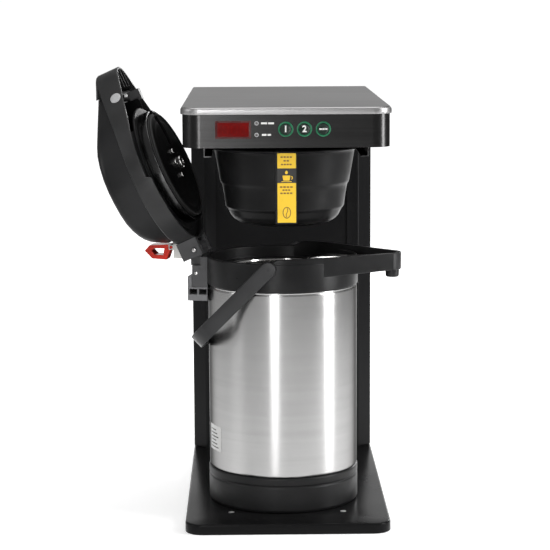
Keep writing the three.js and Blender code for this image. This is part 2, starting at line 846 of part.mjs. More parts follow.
function buildLidShell() {
  const roofFrom = 103;
  const ring = lidBody(0, LID_WALL_TOP, 0, LID_RIM);
  const nose = lidBody(0, LID_CROWN, 0, LID_RIM).intersect(box(roofFrom, 140, -100, 100, 280, 400));
  const ringRoom = raise(teardrop(LID_R, LID_NOSE, LID_WALL), 280, 400).subtract(
    box(roofFrom - LID_WALL, 140, -100, 100, 270, 410),
  );
  const noseRoom = lidBody(LID_WALL, LID_CROWN, LID_WALL, 290).intersect(
    box(roofFrom - LID_WALL - 1, 140, -100, 100, 280, 400),
  );
  const overSpout = box(-4, 140, -100, 100, 280, WALL_TOP + GAP);
  const capHole = bar("y", [LEVER_PIN.x, LEVER_PIN.z], CAP_R + GAP, -60, 60, 24);
  place(
    lid,
    "lid_shell",
    cut(join(ring, nose), ringRoom, noseRoom, overSpout, capHole),
    "blackPlastic",
  );
}

function buildLidHinge() {
  const { x, z } = HINGE;
  const block = box(-106, -84, -25, 25, 294, 318);
  const lugRoom = box(-110, -80, -LUG_HALF - 0.6, LUG_HALF + 0.6, 290, 312);
  const shellRoom = bar("z", [0, 0], LID_R + GAP, 200, 400, 48);
  const pinHole = bar("y", [x, z], PIN_HOLE_R, -40, 40, 12);
  place(lid, "lid_hinge_block", cut(block, lugRoom, shellRoom, pinHole), "greyPlastic");
}

function buildLidPlate() {
  const plate = raise(teardrop(LID_R, LID_NOSE, 3), 300.6, 302.8);
  const neck = turn(
    [
      [0, 298.3],
      [76, 298.3],
      [76, 300.8],
      [0, 300.8],
    ],
    {},
  );
  const sleeve = turn(
    [
      [65, 287],
      [68.4, 287],
      [68.4, 298.5],
      [65, 298.5],
    ],
    { ring: true, sides: 48 },
  );
  const beyondLever = box(84, 140, -40, 40, 290, 310);
  const pipeRoom = box(40, 90, -7, 7, 280, 298.4);
  place(lid, "lid_plate", cut(join(plate, neck, sleeve), beyondLever, pipeRoom), "paleGrey");

  const stopper = turn(
    [
      [0, 280.5],
      [14, 280.5],
      [34, 281.2],
      [46, 282.2],
      [52, 283.2],
      [54, 284],
      [60, 284.2],
      [60, 292],
      [64, 292],
      [64, 298],
      [0, 298],
    ],
    { sides: 48 },
  );
  const pipeSlot = box(23, 90, -7, 7, 260, 298.1);
  place(lid, "stopper", cut(stopper, pipeSlot), "blackPlastic");

  const seal = turn(
    [
      [60.3, 283.6],
      [63.8, 283.6],
      [63.8, 291.7],
      [60.3, 291.7],
    ],
    { ring: true, sides: 32 },
  );
  const sealSlot = box(50, 90, -7, 7, 270, 300);
  place(lid, "stopper_seal", cut(seal, sealSlot), "rubber");
}

function buildPump() {
  const bellows = [[0, 303.1], [40, 303.1]];
  const folds = 6;
  const pitch = 7;
  for (let i = 0; i < folds; i++) {
    bellows.push([48, 306.6 + i * pitch], [40, 310.1 + i * pitch]);
  }
  bellows.push([0, 310.1 + (folds - 1) * pitch]);
  place(lid, "bellows", turn(bellows, { sides: 32 }), "blackPlastic");

  const inset = 3.4;
  const skin = 2.8;
  const skirtLine = [
    [-84, 400],
    [-84, 315.5],
    [0, 313],
    [52, 312],
    [84, 304],
    [LEVER_END_X, 304],
    [LEVER_END_X, 400],
  ];
  const swingRoom = join(
    bar("z", [5, 0], LID_R - inset, 280, 400, 48),
    box(5, 140, -100, 100, 280, 400),
  );
  const body = lidBody(inset, LID_CROWN, 0, 290)
    .intersect(through(skirtLine, -100, 100))
    .intersect(swingRoom);
  const room = lidBody(inset + skin, LID_CROWN, skin, 280).intersect(
    join(bar("z", [5, 0], LID_R - inset - skin, 270, 410, 48), box(5, 87, -100, 100, 270, 410)),
  );
  const knuckle = bar("y", [LEVER_PIN.x, LEVER_PIN.z], 6, -20, 20, 20);
  const pinHole = bar("y", [LEVER_PIN.x, LEVER_PIN.z], PIN_HOLE_R, -60, 60, 12);
  place(lid, "pump_lever", cut(join(cut(body, room), knuckle), pinHole), "blackPlastic");
}

function buildLidSmallParts() {
  const { x, z } = LEVER_PIN;
  const pin = bar("y", [x, z], PIN_R, -33, 33, 12);
  const proud = raise(teardrop(LID_R, LID_NOSE, -0.8), 290, 340);
  const insideWall = raise(teardrop(LID_R, LID_NOSE, LID_WALL), 280, 350);
  const caps = cut(bar("y", [x, z], CAP_R, -60, 60, 24).intersect(proud), insideWall);
  place(lid, "lever_pin", join(pin, caps), "paleGrey");

  const hook = join(box(86, 96, -17, -9, 286, 300.3), box(83, 86.5, -17, -9, 286, 290));
  place(lid, "catch_hook", hook, "greyPlastic");
}

// The lock and its bracket hang under the open lid, so they are drawn where they hang.
const LOCK_PIVOT = [-128, 302];

function buildLeverLock() {
  const loop = [
    [-129.5, 304.8],
    [-154, 303.4],
    [-160, 297],
    [-151, 288],
    [-134, 287],
    [-129.5, 299.5],
  ];
  const finger = [
    [-136.5, 300],
    [-148, 300],
    [-152, 297],
    [-147.5, 292.3],
    [-138, 292.3],
  ];
  const eye = bar("y", LOCK_PIVOT, 2.7, -9, 9, 12);
  const stub = bar("y", LOCK_PIVOT, 1.6, -12, 12, 12);
  const lock = cut(join(through(loop, -9, 9), eye, stub), through(finger, -20, 20));
  place(pot, "lever_lock", lock, "red");

  const tab = [
    [-111.8, 289],
    [-119.4, 306],
    [-125, 306],
    [-125, 289],
  ];
  const ears = [-1, 1].map((s) => {
    const ends = [s * 9.3, s * 12].sort((a, b) => a - b);
    return box(-131, -120, ...ends, 299, 305);
  });
  const stubHole = bar("y", LOCK_PIVOT, 1.9, -20, 20, 12);
  place(pot, "lock_bracket", cut(join(through(tab, -12, 12), ...ears), stubHole), "white");
}

// ---------------------------------------------------------------- assembly
buildBase();
buildColumn();
buildHead();
buildControls();
buildBasket();
buildWater();
buildPotBody();
buildCollar();
buildHinge();
buildBail();
buildLidShell();
buildLidHinge();
buildLidPlate();
buildPump();
buildLidSmallParts();
buildLeverLock();

export default brewer;
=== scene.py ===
"""Airpot coffee brewer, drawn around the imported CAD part.

Lengths in this file are millimetres in the part's frame, turned into metres where meshes are made.
POT is the airpot's own frame, with +X towards its spout. LID and BAIL are those of its lid and bail.
"""

import math

import bpy
from mathutils import Matrix, Vector


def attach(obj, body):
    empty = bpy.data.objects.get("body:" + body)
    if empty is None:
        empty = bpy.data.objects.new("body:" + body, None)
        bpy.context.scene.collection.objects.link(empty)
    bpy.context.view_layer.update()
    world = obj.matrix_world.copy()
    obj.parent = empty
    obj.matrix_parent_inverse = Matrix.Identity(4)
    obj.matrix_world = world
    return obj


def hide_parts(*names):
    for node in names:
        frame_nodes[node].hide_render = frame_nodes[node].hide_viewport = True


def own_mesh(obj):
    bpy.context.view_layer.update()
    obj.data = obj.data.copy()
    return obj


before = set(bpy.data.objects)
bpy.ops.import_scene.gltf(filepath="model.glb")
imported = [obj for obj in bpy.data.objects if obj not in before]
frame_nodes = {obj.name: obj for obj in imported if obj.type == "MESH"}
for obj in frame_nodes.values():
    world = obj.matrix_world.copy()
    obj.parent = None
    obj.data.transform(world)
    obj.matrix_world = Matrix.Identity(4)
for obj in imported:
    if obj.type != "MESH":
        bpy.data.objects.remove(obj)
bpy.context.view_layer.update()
MM = 0.001

# ---------------------------------------------------------------- frames
WORLD = Matrix.Identity(4)
POT = Matrix.Translation((-3, -109, 0)) @ Matrix.Rotation(math.radians(-11), 4, "Z")
HINGE = Vector((-98, 0, 301))
LID = POT @ Matrix.Translation(HINGE) @ Matrix.Rotation(
    math.radians(-114), 4, "Y"
) @ Matrix.Translation(-HINGE)
BAIL_DROP = 45
BAIL_PIVOT_Z = 289
BAIL = POT @ Matrix.Translation((0, 0, BAIL_PIVOT_Z)) @ Matrix.Rotation(
    math.radians(180 - BAIL_DROP), 4, "Y"
)
FRAMES = {"airpot": POT, "bail": BAIL, "lid": LID, "lever": LID}


# ---------------------------------------------------------------- materials
def set_range(ramp, low, high, start, end):
    """Sets a Map Range node to go from low to high as its value goes from start to end."""
    for key, value in (("From Min", start), ("From Max", end), ("To Min", low), ("To Max", high)):
        ramp.inputs[key].default_value = value


class Shader:
    """A procedural material: a Principled shader with nodes that feed its colour, roughness and bump."""

    def __init__(self, name, metallic=0.0, coat=0.0, coat_roughness=0.08, specular=0.5, anisotropic=0.0):
        self.material = bpy.data.materials.new(name)
        self.material.use_nodes = True
        self.tree = self.material.node_tree
        self.bsdf = self.tree.nodes["Principled BSDF"]
        self.bsdf.inputs["Metallic"].default_value = metallic
        self.bsdf.inputs["Coat Weight"].default_value = coat
        self.bsdf.inputs["Coat Roughness"].default_value = coat_roughness
        self.bsdf.inputs["Specular IOR Level"].default_value = specular
        self.bsdf.inputs["Anisotropic"].default_value = anisotropic
        self.place = self.node("ShaderNodeTexCoord").outputs["Object"]
        self.normal = None

    def node(self, kind, **settings):
        made = self.tree.nodes.new(kind)
        for key, value in settings.items():
            setattr(made, key, value)
        return made

    def link(self, a, b):
        self.tree.links.new(a, b)

    def noise(self, scale, detail=4.0, stretch=(1, 1, 1), distortion=0.0):
        """Noise with features about 1/scale metres across, drawn out along axes with small stretch."""
        mapping = self.node("ShaderNodeMapping")
        mapping.inputs["Scale"].default_value = stretch
        self.link(self.place, mapping.inputs["Vector"])
        texture = self.node("ShaderNodeTexNoise")
        texture.inputs["Scale"].default_value = scale
        texture.inputs["Detail"].default_value = detail
        texture.inputs["Distortion"].default_value = distortion
        self.link(mapping.outputs["Vector"], texture.inputs["Vector"])
        return texture.outputs["Fac"]

    def between(self, factor, low, high, start=0.3, end=0.7):
        """A number that goes from low to high as factor goes from start to end."""
        ramp = self.node("ShaderNodeMapRange")
        set_range(ramp, low, high, start, end)
        self.link(factor, ramp.inputs["Value"])
        return ramp.outputs["Result"]

    def blend(self, factor, first, second):
        """A colour between two colours or sockets."""
        mix = self.node("ShaderNodeMix", data_type="RGBA")
        self.link(factor, mix.inputs["Factor"])
        for value, socket in ((first, mix.inputs["A"]), (second, mix.inputs["B"])):
            if isinstance(value, tuple):
                socket.default_value = (*value, 1)
            else:
                self.link(value, socket)
        return mix.outputs["Result"]

    def maths(self, operation, *values):
        """The result of a Math node, whose inputs are sockets or numbers."""
        made = self.node("ShaderNodeMath", operation=operation)
        for value, socket in zip(values, made.inputs):
            if isinstance(value, float):
                socket.default_value = value
            else:
                self.link(value, socket)
        return made.outputs["Value"]

    def bump(self, height, strength, distance):
        made = self.node("ShaderNodeBump")
        made.inputs["Strength"].default_value = strength
        made.inputs["Distance"].default_value = distance * MM
        self.link(height, made.inputs["Height"])
        if self.normal is not None:
            self.link(self.normal, made.inputs["Normal"])
        self.normal = made.outputs["Normal"]
        self.link(self.normal, self.bsdf.inputs["Normal"])

    def colour(self, socket):
        self.link(socket, self.bsdf.inputs["Base Color"])

    def roughness(self, socket):
        self.link(socket, self.bsdf.inputs["Roughness"])

    def edges(self):
        """Nearly 0 on flat faces, rising on worn outer edges."""
        point = self.node("ShaderNodeNewGeometry").outputs["Pointiness"]
        return self.between(point, 0.0, 1.0, 0.52, 0.62)


def shade(colour, factor):
    return tuple(min(1.0, c * factor) for c in colour)


def moulded(name, colour, rough=0.3, grain=0.06, coat=0.0, wear=1.9, specular=0.28):
    """Injection-moulded plastic: fine skin, soft smudges and slightly lighter worn edges."""
    s = Shader(name, coat=coat, specular=specular)
    smudge = s.noise(22, 5, distortion=0.4)
    base = s.blend(s.between(smudge, 0, 1, 0.35, 0.7), shade(colour, 0.82), shade(colour, 1.18))
    s.colour(s.blend(s.edges(), base, shade(colour, wear)))
    s.roughness(s.between(s.noise(60, 6), rough - 0.06, rough + 0.08))
    s.bump(s.noise(900, 3), grain, 0.12)
    s.bump(s.noise(28, 2), 0.05, 0.8)
    return s.material


def enamel(name, colour, rough=0.3):
    """Baked enamel on sheet steel: slight orange peel, dust that lies on top, and wear on the bends."""
    s = Shader(name, specular=0.06)
    mottle = s.between(s.noise(5, 3), 0, 1, 0.35, 0.7)
    base = s.blend(mottle, shade(colour, 0.86), shade(colour, 1.2))
    up = s.node("ShaderNodeSeparateXYZ")
    s.link(s.node("ShaderNodeNewGeometry").outputs["Normal"], up.inputs["Vector"])
    upward = s.between(up.outputs["Z"], 0, 0.35, 0.6, 1.0)
    dust = s.maths("MULTIPLY", upward, s.between(s.noise(35, 8), 0, 0.4, 0.4, 0.8))
    dusty = s.blend(dust, base, (0.02, 0.02, 0.0198))
    s.colour(s.blend(s.edges(), dusty, shade(colour, 2.6)))
    s.roughness(s.between(s.noise(12, 4), rough - 0.02, rough + 0.04))
    s.bump(s.noise(420, 2), 0.03, 0.2)
    return s.material


def brushed(
    name, colour, rough, along, lines=700, streak=0.25, bright=1.12, grazing=0.6, spread=0.45, even=0.8
):
    """Brushed metal. along is the axis that the brush lines run along, or r for lines round the z axis."""
    s = Shader(name, metallic=1.0, anisotropic=spread if along == "r" else 0.0)
    # grazing tints the reflection seen at a slant: below 1 it darkens the metal's edges and slanted faces,
    # painted shade
    s.bsdf.inputs["Specular Tint"].default_value = (grazing, grazing, grazing, 1)
    if along == "r":
        around = s.node("ShaderNodeTangent", direction_type="RADIAL", axis="Z")
        s.link(around.outputs["Tangent"], s.bsdf.inputs["Tangent"])
        s.bsdf.inputs["Anisotropic Rotation"].default_value = 0.25
    small = 0.012
    stretch = {"x": (small, 1, 1), "y": (1, small, 1), "z": (1, 1, small), "r": (small, small, 1)}[along]
    fine = s.noise(lines, 3, stretch)
    broad = s.noise(lines / 6, 2, stretch)
    cloud = s.noise(9, 4, distortion=0.5)
    tone = s.blend(s.between(fine, 0, 1, 0.3, 0.7), shade(colour, 2 - bright), shade(colour, bright))
    s.colour(s.blend(s.between(cloud, 0, 0.35, 0.4, 0.75), tone, shade(colour, even)))
    s.roughness(s.between(broad, rough - 0.02, rough + 0.03))
    s.bump(fine, streak, 0.05)
    s.bump(broad, streak * 0.5, 0.12)
    return s.material


def glowing(name, colour, dim, lit):
    """A dark lens with light behind it, slightly uneven."""
    s = Shader(name, specular=0.12)
    uneven = s.between(s.noise(60, 3), 0, 1, 0.3, 0.7)
    s.colour(s.blend(uneven, shade(colour, 0.5), colour))
    s.roughness(s.between(s.noise(200, 3), 0.12, 0.22))
    glow = s.blend(uneven, shade(lit, 0.75), lit)
    s.link(glow, s.bsdf.inputs["Emission Color"])
    s.bsdf.inputs["Emission Strength"].default_value = dim
    return s.material


def printed(name, colour, rough=0.45, worn=0.2):
    """Printed ink or label stock, a little uneven and rubbed."""
    s = Shader(name, coat=0.15, coat_roughness=0.25)
    rub = s.between(s.noise(120, 6, distortion=0.6), 0, worn, 0.5, 0.75)
    s.colour(s.blend(rub, colour, shade(colour, 0.7)))
    s.roughness(s.between(s.noise(90, 4), rough - 0.08, rough + 0.1))
    s.bump(s.noise(1500, 2), 0.04, 0.05)
    return s.material


BLACK_ENAMEL = enamel("black_enamel", (0.007, 0.007, 0.0073), 0.24)
PANEL_ENAMEL = enamel("panel_enamel", (0.016, 0.016, 0.0163), 0.34)
TRAY_ENAMEL = enamel("tray_enamel", (0.006, 0.006, 0.0062), 0.24)
# the cover's low grazing tint dims its slanted top: painted shade
COVER_STEEL = brushed("cover_steel", (0.4, 0.395, 0.395), 0.38, "x", lines=500, streak=0.1, grazing=0.3)
FASCIA_STEEL = brushed("fascia_steel", (0.055, 0.0545, 0.0545), 0.24, "x", lines=620, streak=0.12)
# the jacket's grazing tint of 0.1 darkens its edges: painted shade
POT_STEEL = brushed("pot_steel", (0.5, 0.497, 0.494), 0.24, "r", 700, 0.008, 1.03, 0.1, 0.85, 0.97)
SMALL_STEEL = brushed("small_steel", (0.66, 0.65, 0.64), 0.16, "r", lines=500, streak=0.12)
SCREW_STEEL = brushed("screw_steel", (0.85, 0.85, 0.84), 0.5, "x", lines=300, streak=0.05)
DULL_STEEL = brushed("dull_steel", (0.45, 0.45, 0.45), 0.34, "z", lines=300, streak=0.3)
BRASS = brushed("brass", (0.52, 0.37, 0.14), 0.25, "r", lines=400, streak=0.2)
GLOSS_BLACK = moulded("gloss_black", (0.007, 0.007, 0.0073), 0.36, 0.03, specular=0.14, wear=1.2)
STOPPER_BLACK = moulded("stopper_black", (0.004, 0.004, 0.0042), 0.45, 0.05, specular=0.06, wear=1.2)
SATIN_BLACK = moulded("satin_black", (0.009, 0.009, 0.0094), 0.33, 0.05, specular=0.2)
FOOT_BLACK = moulded("foot_black", (0.012, 0.012, 0.0124), 0.4, 0.08, specular=0.18)
LID_BLACK = moulded("lid_black", (0.024, 0.024, 0.0245), 0.34, 0.05, specular=0.3, wear=1.5)
RAIL_STEEL = brushed("rail_steel", (0.06, 0.06, 0.06), 0.3, "y", lines=300, streak=0.1)
SOFT_BLACK = moulded("soft_black", (0.014, 0.014, 0.015), 0.4, 0.1)
DARK_GREY = moulded("dark_grey", (0.022, 0.022, 0.023), 0.36, 0.06)
PLATE_BLACK = moulded("plate_black", (0.006, 0.006, 0.0062), 0.42, 0.05, specular=0.1, wear=1.3)
RIB_GREY = moulded("rib_grey", (0.009, 0.009, 0.0093), 0.6, 0.004, specular=0.08, wear=1.2)
HINGE_GREY = moulded("hinge_grey", (0.06, 0.06, 0.062), 0.4, 0.12)
PALE_GREY = moulded("pale_grey", (0.2, 0.2, 0.205), 0.4, 0.1)
CLASP_GREY = moulded("clasp_grey", (0.14, 0.14, 0.145), 0.42, 0.12)
CAP_GREY = moulded("cap_grey", (0.42, 0.42, 0.425), 0.38, 0.08)
WHITE = moulded("white_moulding", (0.62, 0.61, 0.59), 0.42, 0.08, wear=1.05)
RED = moulded("red_moulding", (0.52, 0.02, 0.008), 0.28, 0.06, coat=0.3, wear=1.25)
GREEN = moulded("green_ring", (0.008, 0.13, 0.055), 0.3, 0.05, coat=0.2, wear=1.3)
GREEN_BLACK = moulded("button_cap", (0.004, 0.014, 0.009), 0.28, 0.05, coat=0.2)
RUBBER = moulded("black_rubber", (0.016, 0.016, 0.016), 0.6, 0.22)
BOARD_GREEN = moulded("board_green", (0.02, 0.12, 0.05), 0.45, 0.1)
LENS = glowing("display_lens", (0.04, 0.002, 0.002), 1.0, (0.12, 0.0012, 0.001))
SEGMENT = glowing("display_segment", (0.05, 0.002, 0.002), 1.0, (0.15, 0.0015, 0.001))
LAMP = moulded("lamp_lens", (0.13, 0.12, 0.12), 0.18, 0.03, coat=0.5)
WHITE_PRINT = printed("white_print", (0.72, 0.72, 0.7))
YELLOW_PRINT = printed("yellow_print", (0.86, 0.55, 0.012))
BLACK_PRINT = printed("black_print", (0.012, 0.011, 0.01))
BROWN_PRINT = printed("brown_print", (0.2, 0.09, 0.01))
GREY_PRINT = printed("grey_print", (0.52, 0.52, 0.51))
RED_MASK = moulded("display_mask", (0.03, 0.002, 0.002), 0.25, 0.03, coat=0.4)
# a near-black copy of the steel for the sleeve inside the lid: its dark colour is painted shade
SHADED_SLEEVE_STEEL = brushed("sleeve_steel_painted_shade", (0.07, 0.07, 0.07), 0.2, "r", lines=300, streak=0.06)
LEVER_BLACK = moulded("lever_black", (0.011, 0.011, 0.0115), 0.36, 0.05, specular=0.2)


# ---------------------------------------------------------------- meshes
SHARP_ANGLE, BEVEL_ANGLE = 32, 34


def placed(name, data):
    """A new object in the scene."""
    obj = bpy.data.objects.new(name, data)
    bpy.context.scene.collection.objects.link(obj)
    return obj


def piece(name, shape, body, material, replaces=(), bevel=0.0, steps=2, angle=SHARP_ANGLE):
    """Makes a shape, (points, faces) in millimetres in its body's frame, into a piece that rides on it."""
    points, faces = shape
    place = FRAMES.get(body, WORLD)
    mesh = bpy.data.meshes.new(name)
    mesh.from_pydata([(place @ Vector(p)) * MM for p in points], [], faces)
    mesh.validate()
    mesh.shade_smooth()
    mesh.set_sharp_from_angle(angle=math.radians(angle))
    obj = placed(name, mesh)
    obj.data.materials.append(material)
    if bevel:
        round_edges(obj, bevel, steps)
    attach(obj, body)
    if replaces:
        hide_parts(*replaces)
    return obj


def round_edges(obj, width, steps=2, weld=False):
    if weld:
        obj.modifiers.new("weld", "WELD").merge_threshold = 0.02 * MM
    bevel = obj.modifiers.new("edges", "BEVEL")
    bevel.width = width * MM
    bevel.segments = steps
    bevel.limit_method = "ANGLE"
    bevel.angle_limit = math.radians(BEVEL_ANGLE)
    bevel.miter_outer = "MITER_ARC"
    shading = obj.modifiers.new("shading", "WEIGHTED_NORMAL")
    shading.keep_sharp = True
    shading.weight = 80


def dress(node, material, bevel=0.4, steps=2):
    """Keeps a CAD node, and gives it rounded edges and a material."""
    obj = frame_nodes[node]
    mesh = obj.data
    if "custom_normal" in mesh.attributes:
        mesh.attributes.remove(mesh.attributes["custom_normal"])
    mesh.shade_smooth()
    mesh.materials.clear()
    mesh.materials.append(material)
    round_edges(obj, bevel, steps, weld=True)
    return obj


def merge(*shapes):
    points, faces = [], []
    for p, f in shapes:
        start = len(points)
        points += p
        faces += [[i + start for i in face] for face in f]
    return points, faces


def moved(shape, where):
    """A shape with each point (x, y, z) put at where(x, y, z)."""
    points, faces = shape
    return [tuple(where(*p)) for p in points], faces


def soften(line, radius, steps=5, closed=False):
    """Rounds the corners of a line of 2-D points."""
    count = len(line)
    made = []
    for i, p in enumerate(line):
        if not closed and i in (0, count - 1):
            made.append(tuple(p))
            continue
        p = Vector(p)
        a, b = Vector(line[i - 1]), Vector(line[(i + 1) % count])
        ra = min(radius, (a - p).length * 0.48)
        rb = min(radius, (b - p).length * 0.48)
        start = p + (a - p).normalized() * ra
        end = p + (b - p).normalized() * rb
        for k in range(steps + 1):
            t = k / steps
            made.append(tuple(start * (1 - t) ** 2 + p * 2 * t * (1 - t) + end * t**2))
    return made


def rounded_rect(x0, x1, z0, z1, r=0.8, steps=4):
    """An upright rectangle with round corners."""
    return soften([(x0, z0), (x1, z0), (x1, z1), (x0, z1)], r, steps, closed=True)


def smooth_line(points, count):
    """A Catmull-Rom curve through the points, as count points."""
    pts = [Vector(p) for p in points]
    pts = [pts[0] * 2 - pts[1], *pts, pts[-1] * 2 - pts[-2]]
    made = []
    for k in range(count):
        t = k / (count - 1) * (len(pts) - 3)
        i = min(int(t), len(pts) - 4)
        t -= i
        a, b, c, d = pts[i : i + 4]
        second, third = 2 * a - 5 * b + 4 * c - d, 3 * b - a - 3 * c + d
        made.append(0.5 * (2 * b + (c - a) * t + second * t**2 + third * t**3))
    return made


def arc(cx, cy, r, start, end, steps):
    """Points of a circular arc, in degrees."""
    turns = [math.radians(start + (end - start) * i / steps) for i in range(steps + 1)]
    return [(cx + r * math.cos(a), cy + r * math.sin(a)) for a in turns]


def lathe(profile, sides=96, centre=(0, 0), closed=False, axis="z"):
    """Turns a profile of (radius, height) points about an axis. Points on the axis become poles."""
    points, faces, rows = [], [], []
    for r, z in profile:
        if r < 1e-6:
            rows.append([len(points)] * sides)
            points.append((0, 0, z))
            continue
        rows.append(list(range(len(points), len(points) + sides)))
        points += [
            (r * math.cos(2 * math.pi * k / sides), r * math.sin(2 * math.pi * k / sides), z)
            for k in range(sides)
        ]
    pairs = list(zip(rows, rows[1:]))
    if closed:
        pairs.append((rows[-1], rows[0]))
    for low, high in pairs:
        for k in range(sides):
            n = (k + 1) % sides
            face = [low[k], low[n], high[n], high[k]]
            face = [v for i, v in enumerate(face) if v != face[i - 1]]
            if len(face) > 2:
                faces.append(face)
    if axis == "y":
        points = [(x, -z, y) for x, y, z in points]
        points = [(x + centre[0], y, z + centre[1]) for x, y, z in points]
    else:
        points = [(x + centre[0], y + centre[1], z) for x, y, z in points]
    return points, faces


def drill(r, low, high, sides, centre, axis="z"):
    """A plain cylinder, to cut a hole with."""
    return lathe([(0, low), (r, low), (r, high), (0, high)], sides, centre, axis=axis)


def loft(rings, caps=True, closed=False):
    """Joins rings of 3-D points, each with the same count, into one skin."""
    count = len(rings[0])
    points = [tuple(p) for ring in rings for p in ring]
    faces = []
    pairs = [(i, i + 1) for i in range(len(rings) - 1)]
    if closed:
        pairs.append((len(rings) - 1, 0))
    for i, j in pairs:
        for k in range(count):
            n = (k + 1) % count
            faces.append([i * count + k, i * count + n, j * count + n, j * count + k])
    if caps and not closed:
        faces.append(list(range(count))[::-1])
        faces.append([(len(rings) - 1) * count + k for k in range(count)])
    return points, faces


def level(value, x, y):
    return value(x, y) if callable(value) else value


def prism(outline, low, high):
    """An (x, y) outline raised from low to high, each a height or a function of x and y."""
    return loft(
        [[(x, y, level(low, x, y)) for x, y in outline], [(x, y, level(high, x, y)) for x, y in outline]]
    )


def prism_y(outline, front, back):
    """An (x, z) outline drawn from front to back along Y."""
    return loft([[(x, back, z) for x, z in outline], [(x, front, z) for x, z in outline]])


def prism_x(outline, left, right):
    """A (y, z) outline drawn along X."""
    return loft([[(left, y, z) for y, z in outline], [(right, y, z) for y, z in outline]])


def block(x0, x1, y0, y1, z0, z1):
    return prism([(x0, y0), (x1, y0), (x1, y1), (x0, y1)], z0, z1)


def tube(path, radius, sides=20, count=60, bore=0.0):
    """A round tube along a smooth path. radius may be a function of the share of the way along."""
    line = smooth_line(path, count)
    side = None
    rings, inner = [], []
    for i, p in enumerate(line):
        ahead = (line[min(i + 1, count - 1)] - line[max(i - 1, 0)]).normalized()
        if side is None:
            side = ahead.orthogonal().normalized()
        side = (side - ahead * side.dot(ahead)).normalized()
        up = ahead.cross(side)
        r = radius(i / (count - 1)) if callable(radius) else radius
        turns = [2 * math.pi * k / sides for k in range(sides)]
        rings.append([p + (side * math.cos(a) + up * math.sin(a)) * r for a in turns])
        inner.append([p + (side * math.cos(a) + up * math.sin(a)) * bore for a in turns])
    if bore:
        return loft(rings + inner[::-1], closed=True)
    return loft(rings)


def front_rounded(half, front, back, r, steps=14):
    """A rectangle whose two front corners are round, seen from above."""
    return [
        (half, back),
        (-half, back),
        *arc(-half + r, front + r, r, 180, 270, steps),
        *arc(half - r, front + r, r, 270, 360, steps),
    ]


def teardrop(r, nose_x, nose_r, inset=0.0, steps=72, nose_steps=20):
    """A circle about the origin drawn out to a smaller round nose along +X."""
    big, small = r - inset, nose_r - inset
    touch = math.degrees(math.acos((big - small) / nose_x))
    return [*arc(0, 0, big, touch, 360 - touch, steps), *arc(nose_x, 0, small, -touch, touch, nose_steps)]


def round_nose(points):
    """Puts the nose end of a teardrop in order: out along the side with -y, and back along the other."""
    near = sorted([p for p in points if p[1] < 0], key=lambda p: p[0])
    return near + sorted([p for p in points if p[1] >= 0], key=lambda p: -p[0])


def outward(outline):
    """The outward direction at each point of a closed outline that runs anticlockwise."""
    made = []
    for i in range(len(outline)):
        a, b = Vector(outline[i - 1]), Vector(outline[(i + 1) % len(outline)])
        d = (b - a).normalized()
        made.append(Vector((d.y, -d.x)))
    return made


def wall(outline, section, where=None):
    """Sweeps a section round an outline. section(x, y) gives (outward offset, height) points.
    where(x, y) keeps only the stretch of outline for which it is true, with closed ends."""
    kept = list(zip(outline, outward(outline)))
    if where is not None:
        flags = [where(*p) for p in outline]
        first = next(i for i in range(len(flags)) if flags[i] and not flags[i - 1])
        order = [(first + k) % len(flags) for k in range(len(flags))]
        kept = [kept[i] for i in order if flags[i]]
    rings = [[(p[0] + n.x * o, p[1] + n.y * o, z) for o, z in section(*p)] for p, n in kept]
    return loft(rings, closed=where is None)


def carve(obj, *shapes):
    """Cuts shapes out of a piece's mesh, before its edges are rounded."""
    shown = {m.name: m.show_viewport for m in obj.modifiers}
    for m in obj.modifiers:
        m.show_viewport = False
    cutters = []
    for i, (points, faces) in enumerate(shapes):
        mesh = bpy.data.meshes.new(f"cutter_{i}")
        mesh.from_pydata([Vector(p) * MM for p in points], [], faces)
        mesh.validate()
        cutter = placed(f"cutter_{i}", mesh)
        cutters.append(cutter)
        boolean = obj.modifiers.new(f"carve_{i}", "BOOLEAN")
        boolean.operation = "DIFFERENCE"
        boolean.solver = "EXACT"
        boolean.object = cutter
    bpy.context.view_layer.update()
    graph = bpy.context.evaluated_depsgraph_get()
    carved = bpy.data.meshes.new_from_object(obj.evaluated_get(graph), depsgraph=graph)
    for m in [m for m in obj.modifiers if m.type == "BOOLEAN"]:
        obj.modifiers.remove(m)
    for cutter in cutters:
        bpy.data.objects.remove(cutter)
    obj.data = carved
    obj.data.set_sharp_from_angle(angle=math.radians(SHARP_ANGLE))
    for m in obj.modifiers:
        m.show_viewport = shown[m.name]
    return obj


def writing(name, text, size, at, body, material, thick=0.25):
    """A digit as a flat raised mark that faces the user, centred on at."""
    curve = bpy.data.curves.new(name, "FONT")
    curve.body = text
    curve.size = size * MM
    curve.extrude = thick * MM / 2
    curve.offset = 0.03 * size * MM
    curve.align_x = "CENTER"
    curve.align_y = "CENTER"
    letters = placed(name + "_curve", curve)
    bpy.context.view_layer.update()
    graph = bpy.context.evaluated_depsgraph_get()
    mesh = bpy.data.meshes.new_from_object(letters.evaluated_get(graph), depsgraph=graph)
    bpy.data.objects.remove(letters)
    mesh.transform(Matrix.Translation(Vector(at) * MM) @ Matrix.Rotation(math.radians(90), 4, "X"))
    mesh.name = name
    obj = placed(name, mesh)
    obj.data.materials.clear()
    obj.data.materials.append(material)
    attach(obj, body)
    return obj


# ---------------------------------------------------------------- base
HALF = 114
FRONT, BACK = -235, 235
BASE_H = 11.6
SCREW_XS = (-63, 63)
SCREW_Y = FRONT + 53


def recessed_screw(x, y, top, r=3.4, depth=7.6):
    """A countersunk cross-head screw, and the cross cut in its head."""
    line = [(0, top - depth), (1.9, top - depth), (1.9, top - 2.6), (r, top - 0.5), (r, top), (0, top)]
    reach, half = 1.8, 0.42
    arms = [
        block(x - a, x + a, y - b, y + b, top - 1.3, top + 1) for a, b in ((reach, half), (half, reach))
    ]
    return lathe(soften(line, 0.25, 3), 40, (x, y)), arms


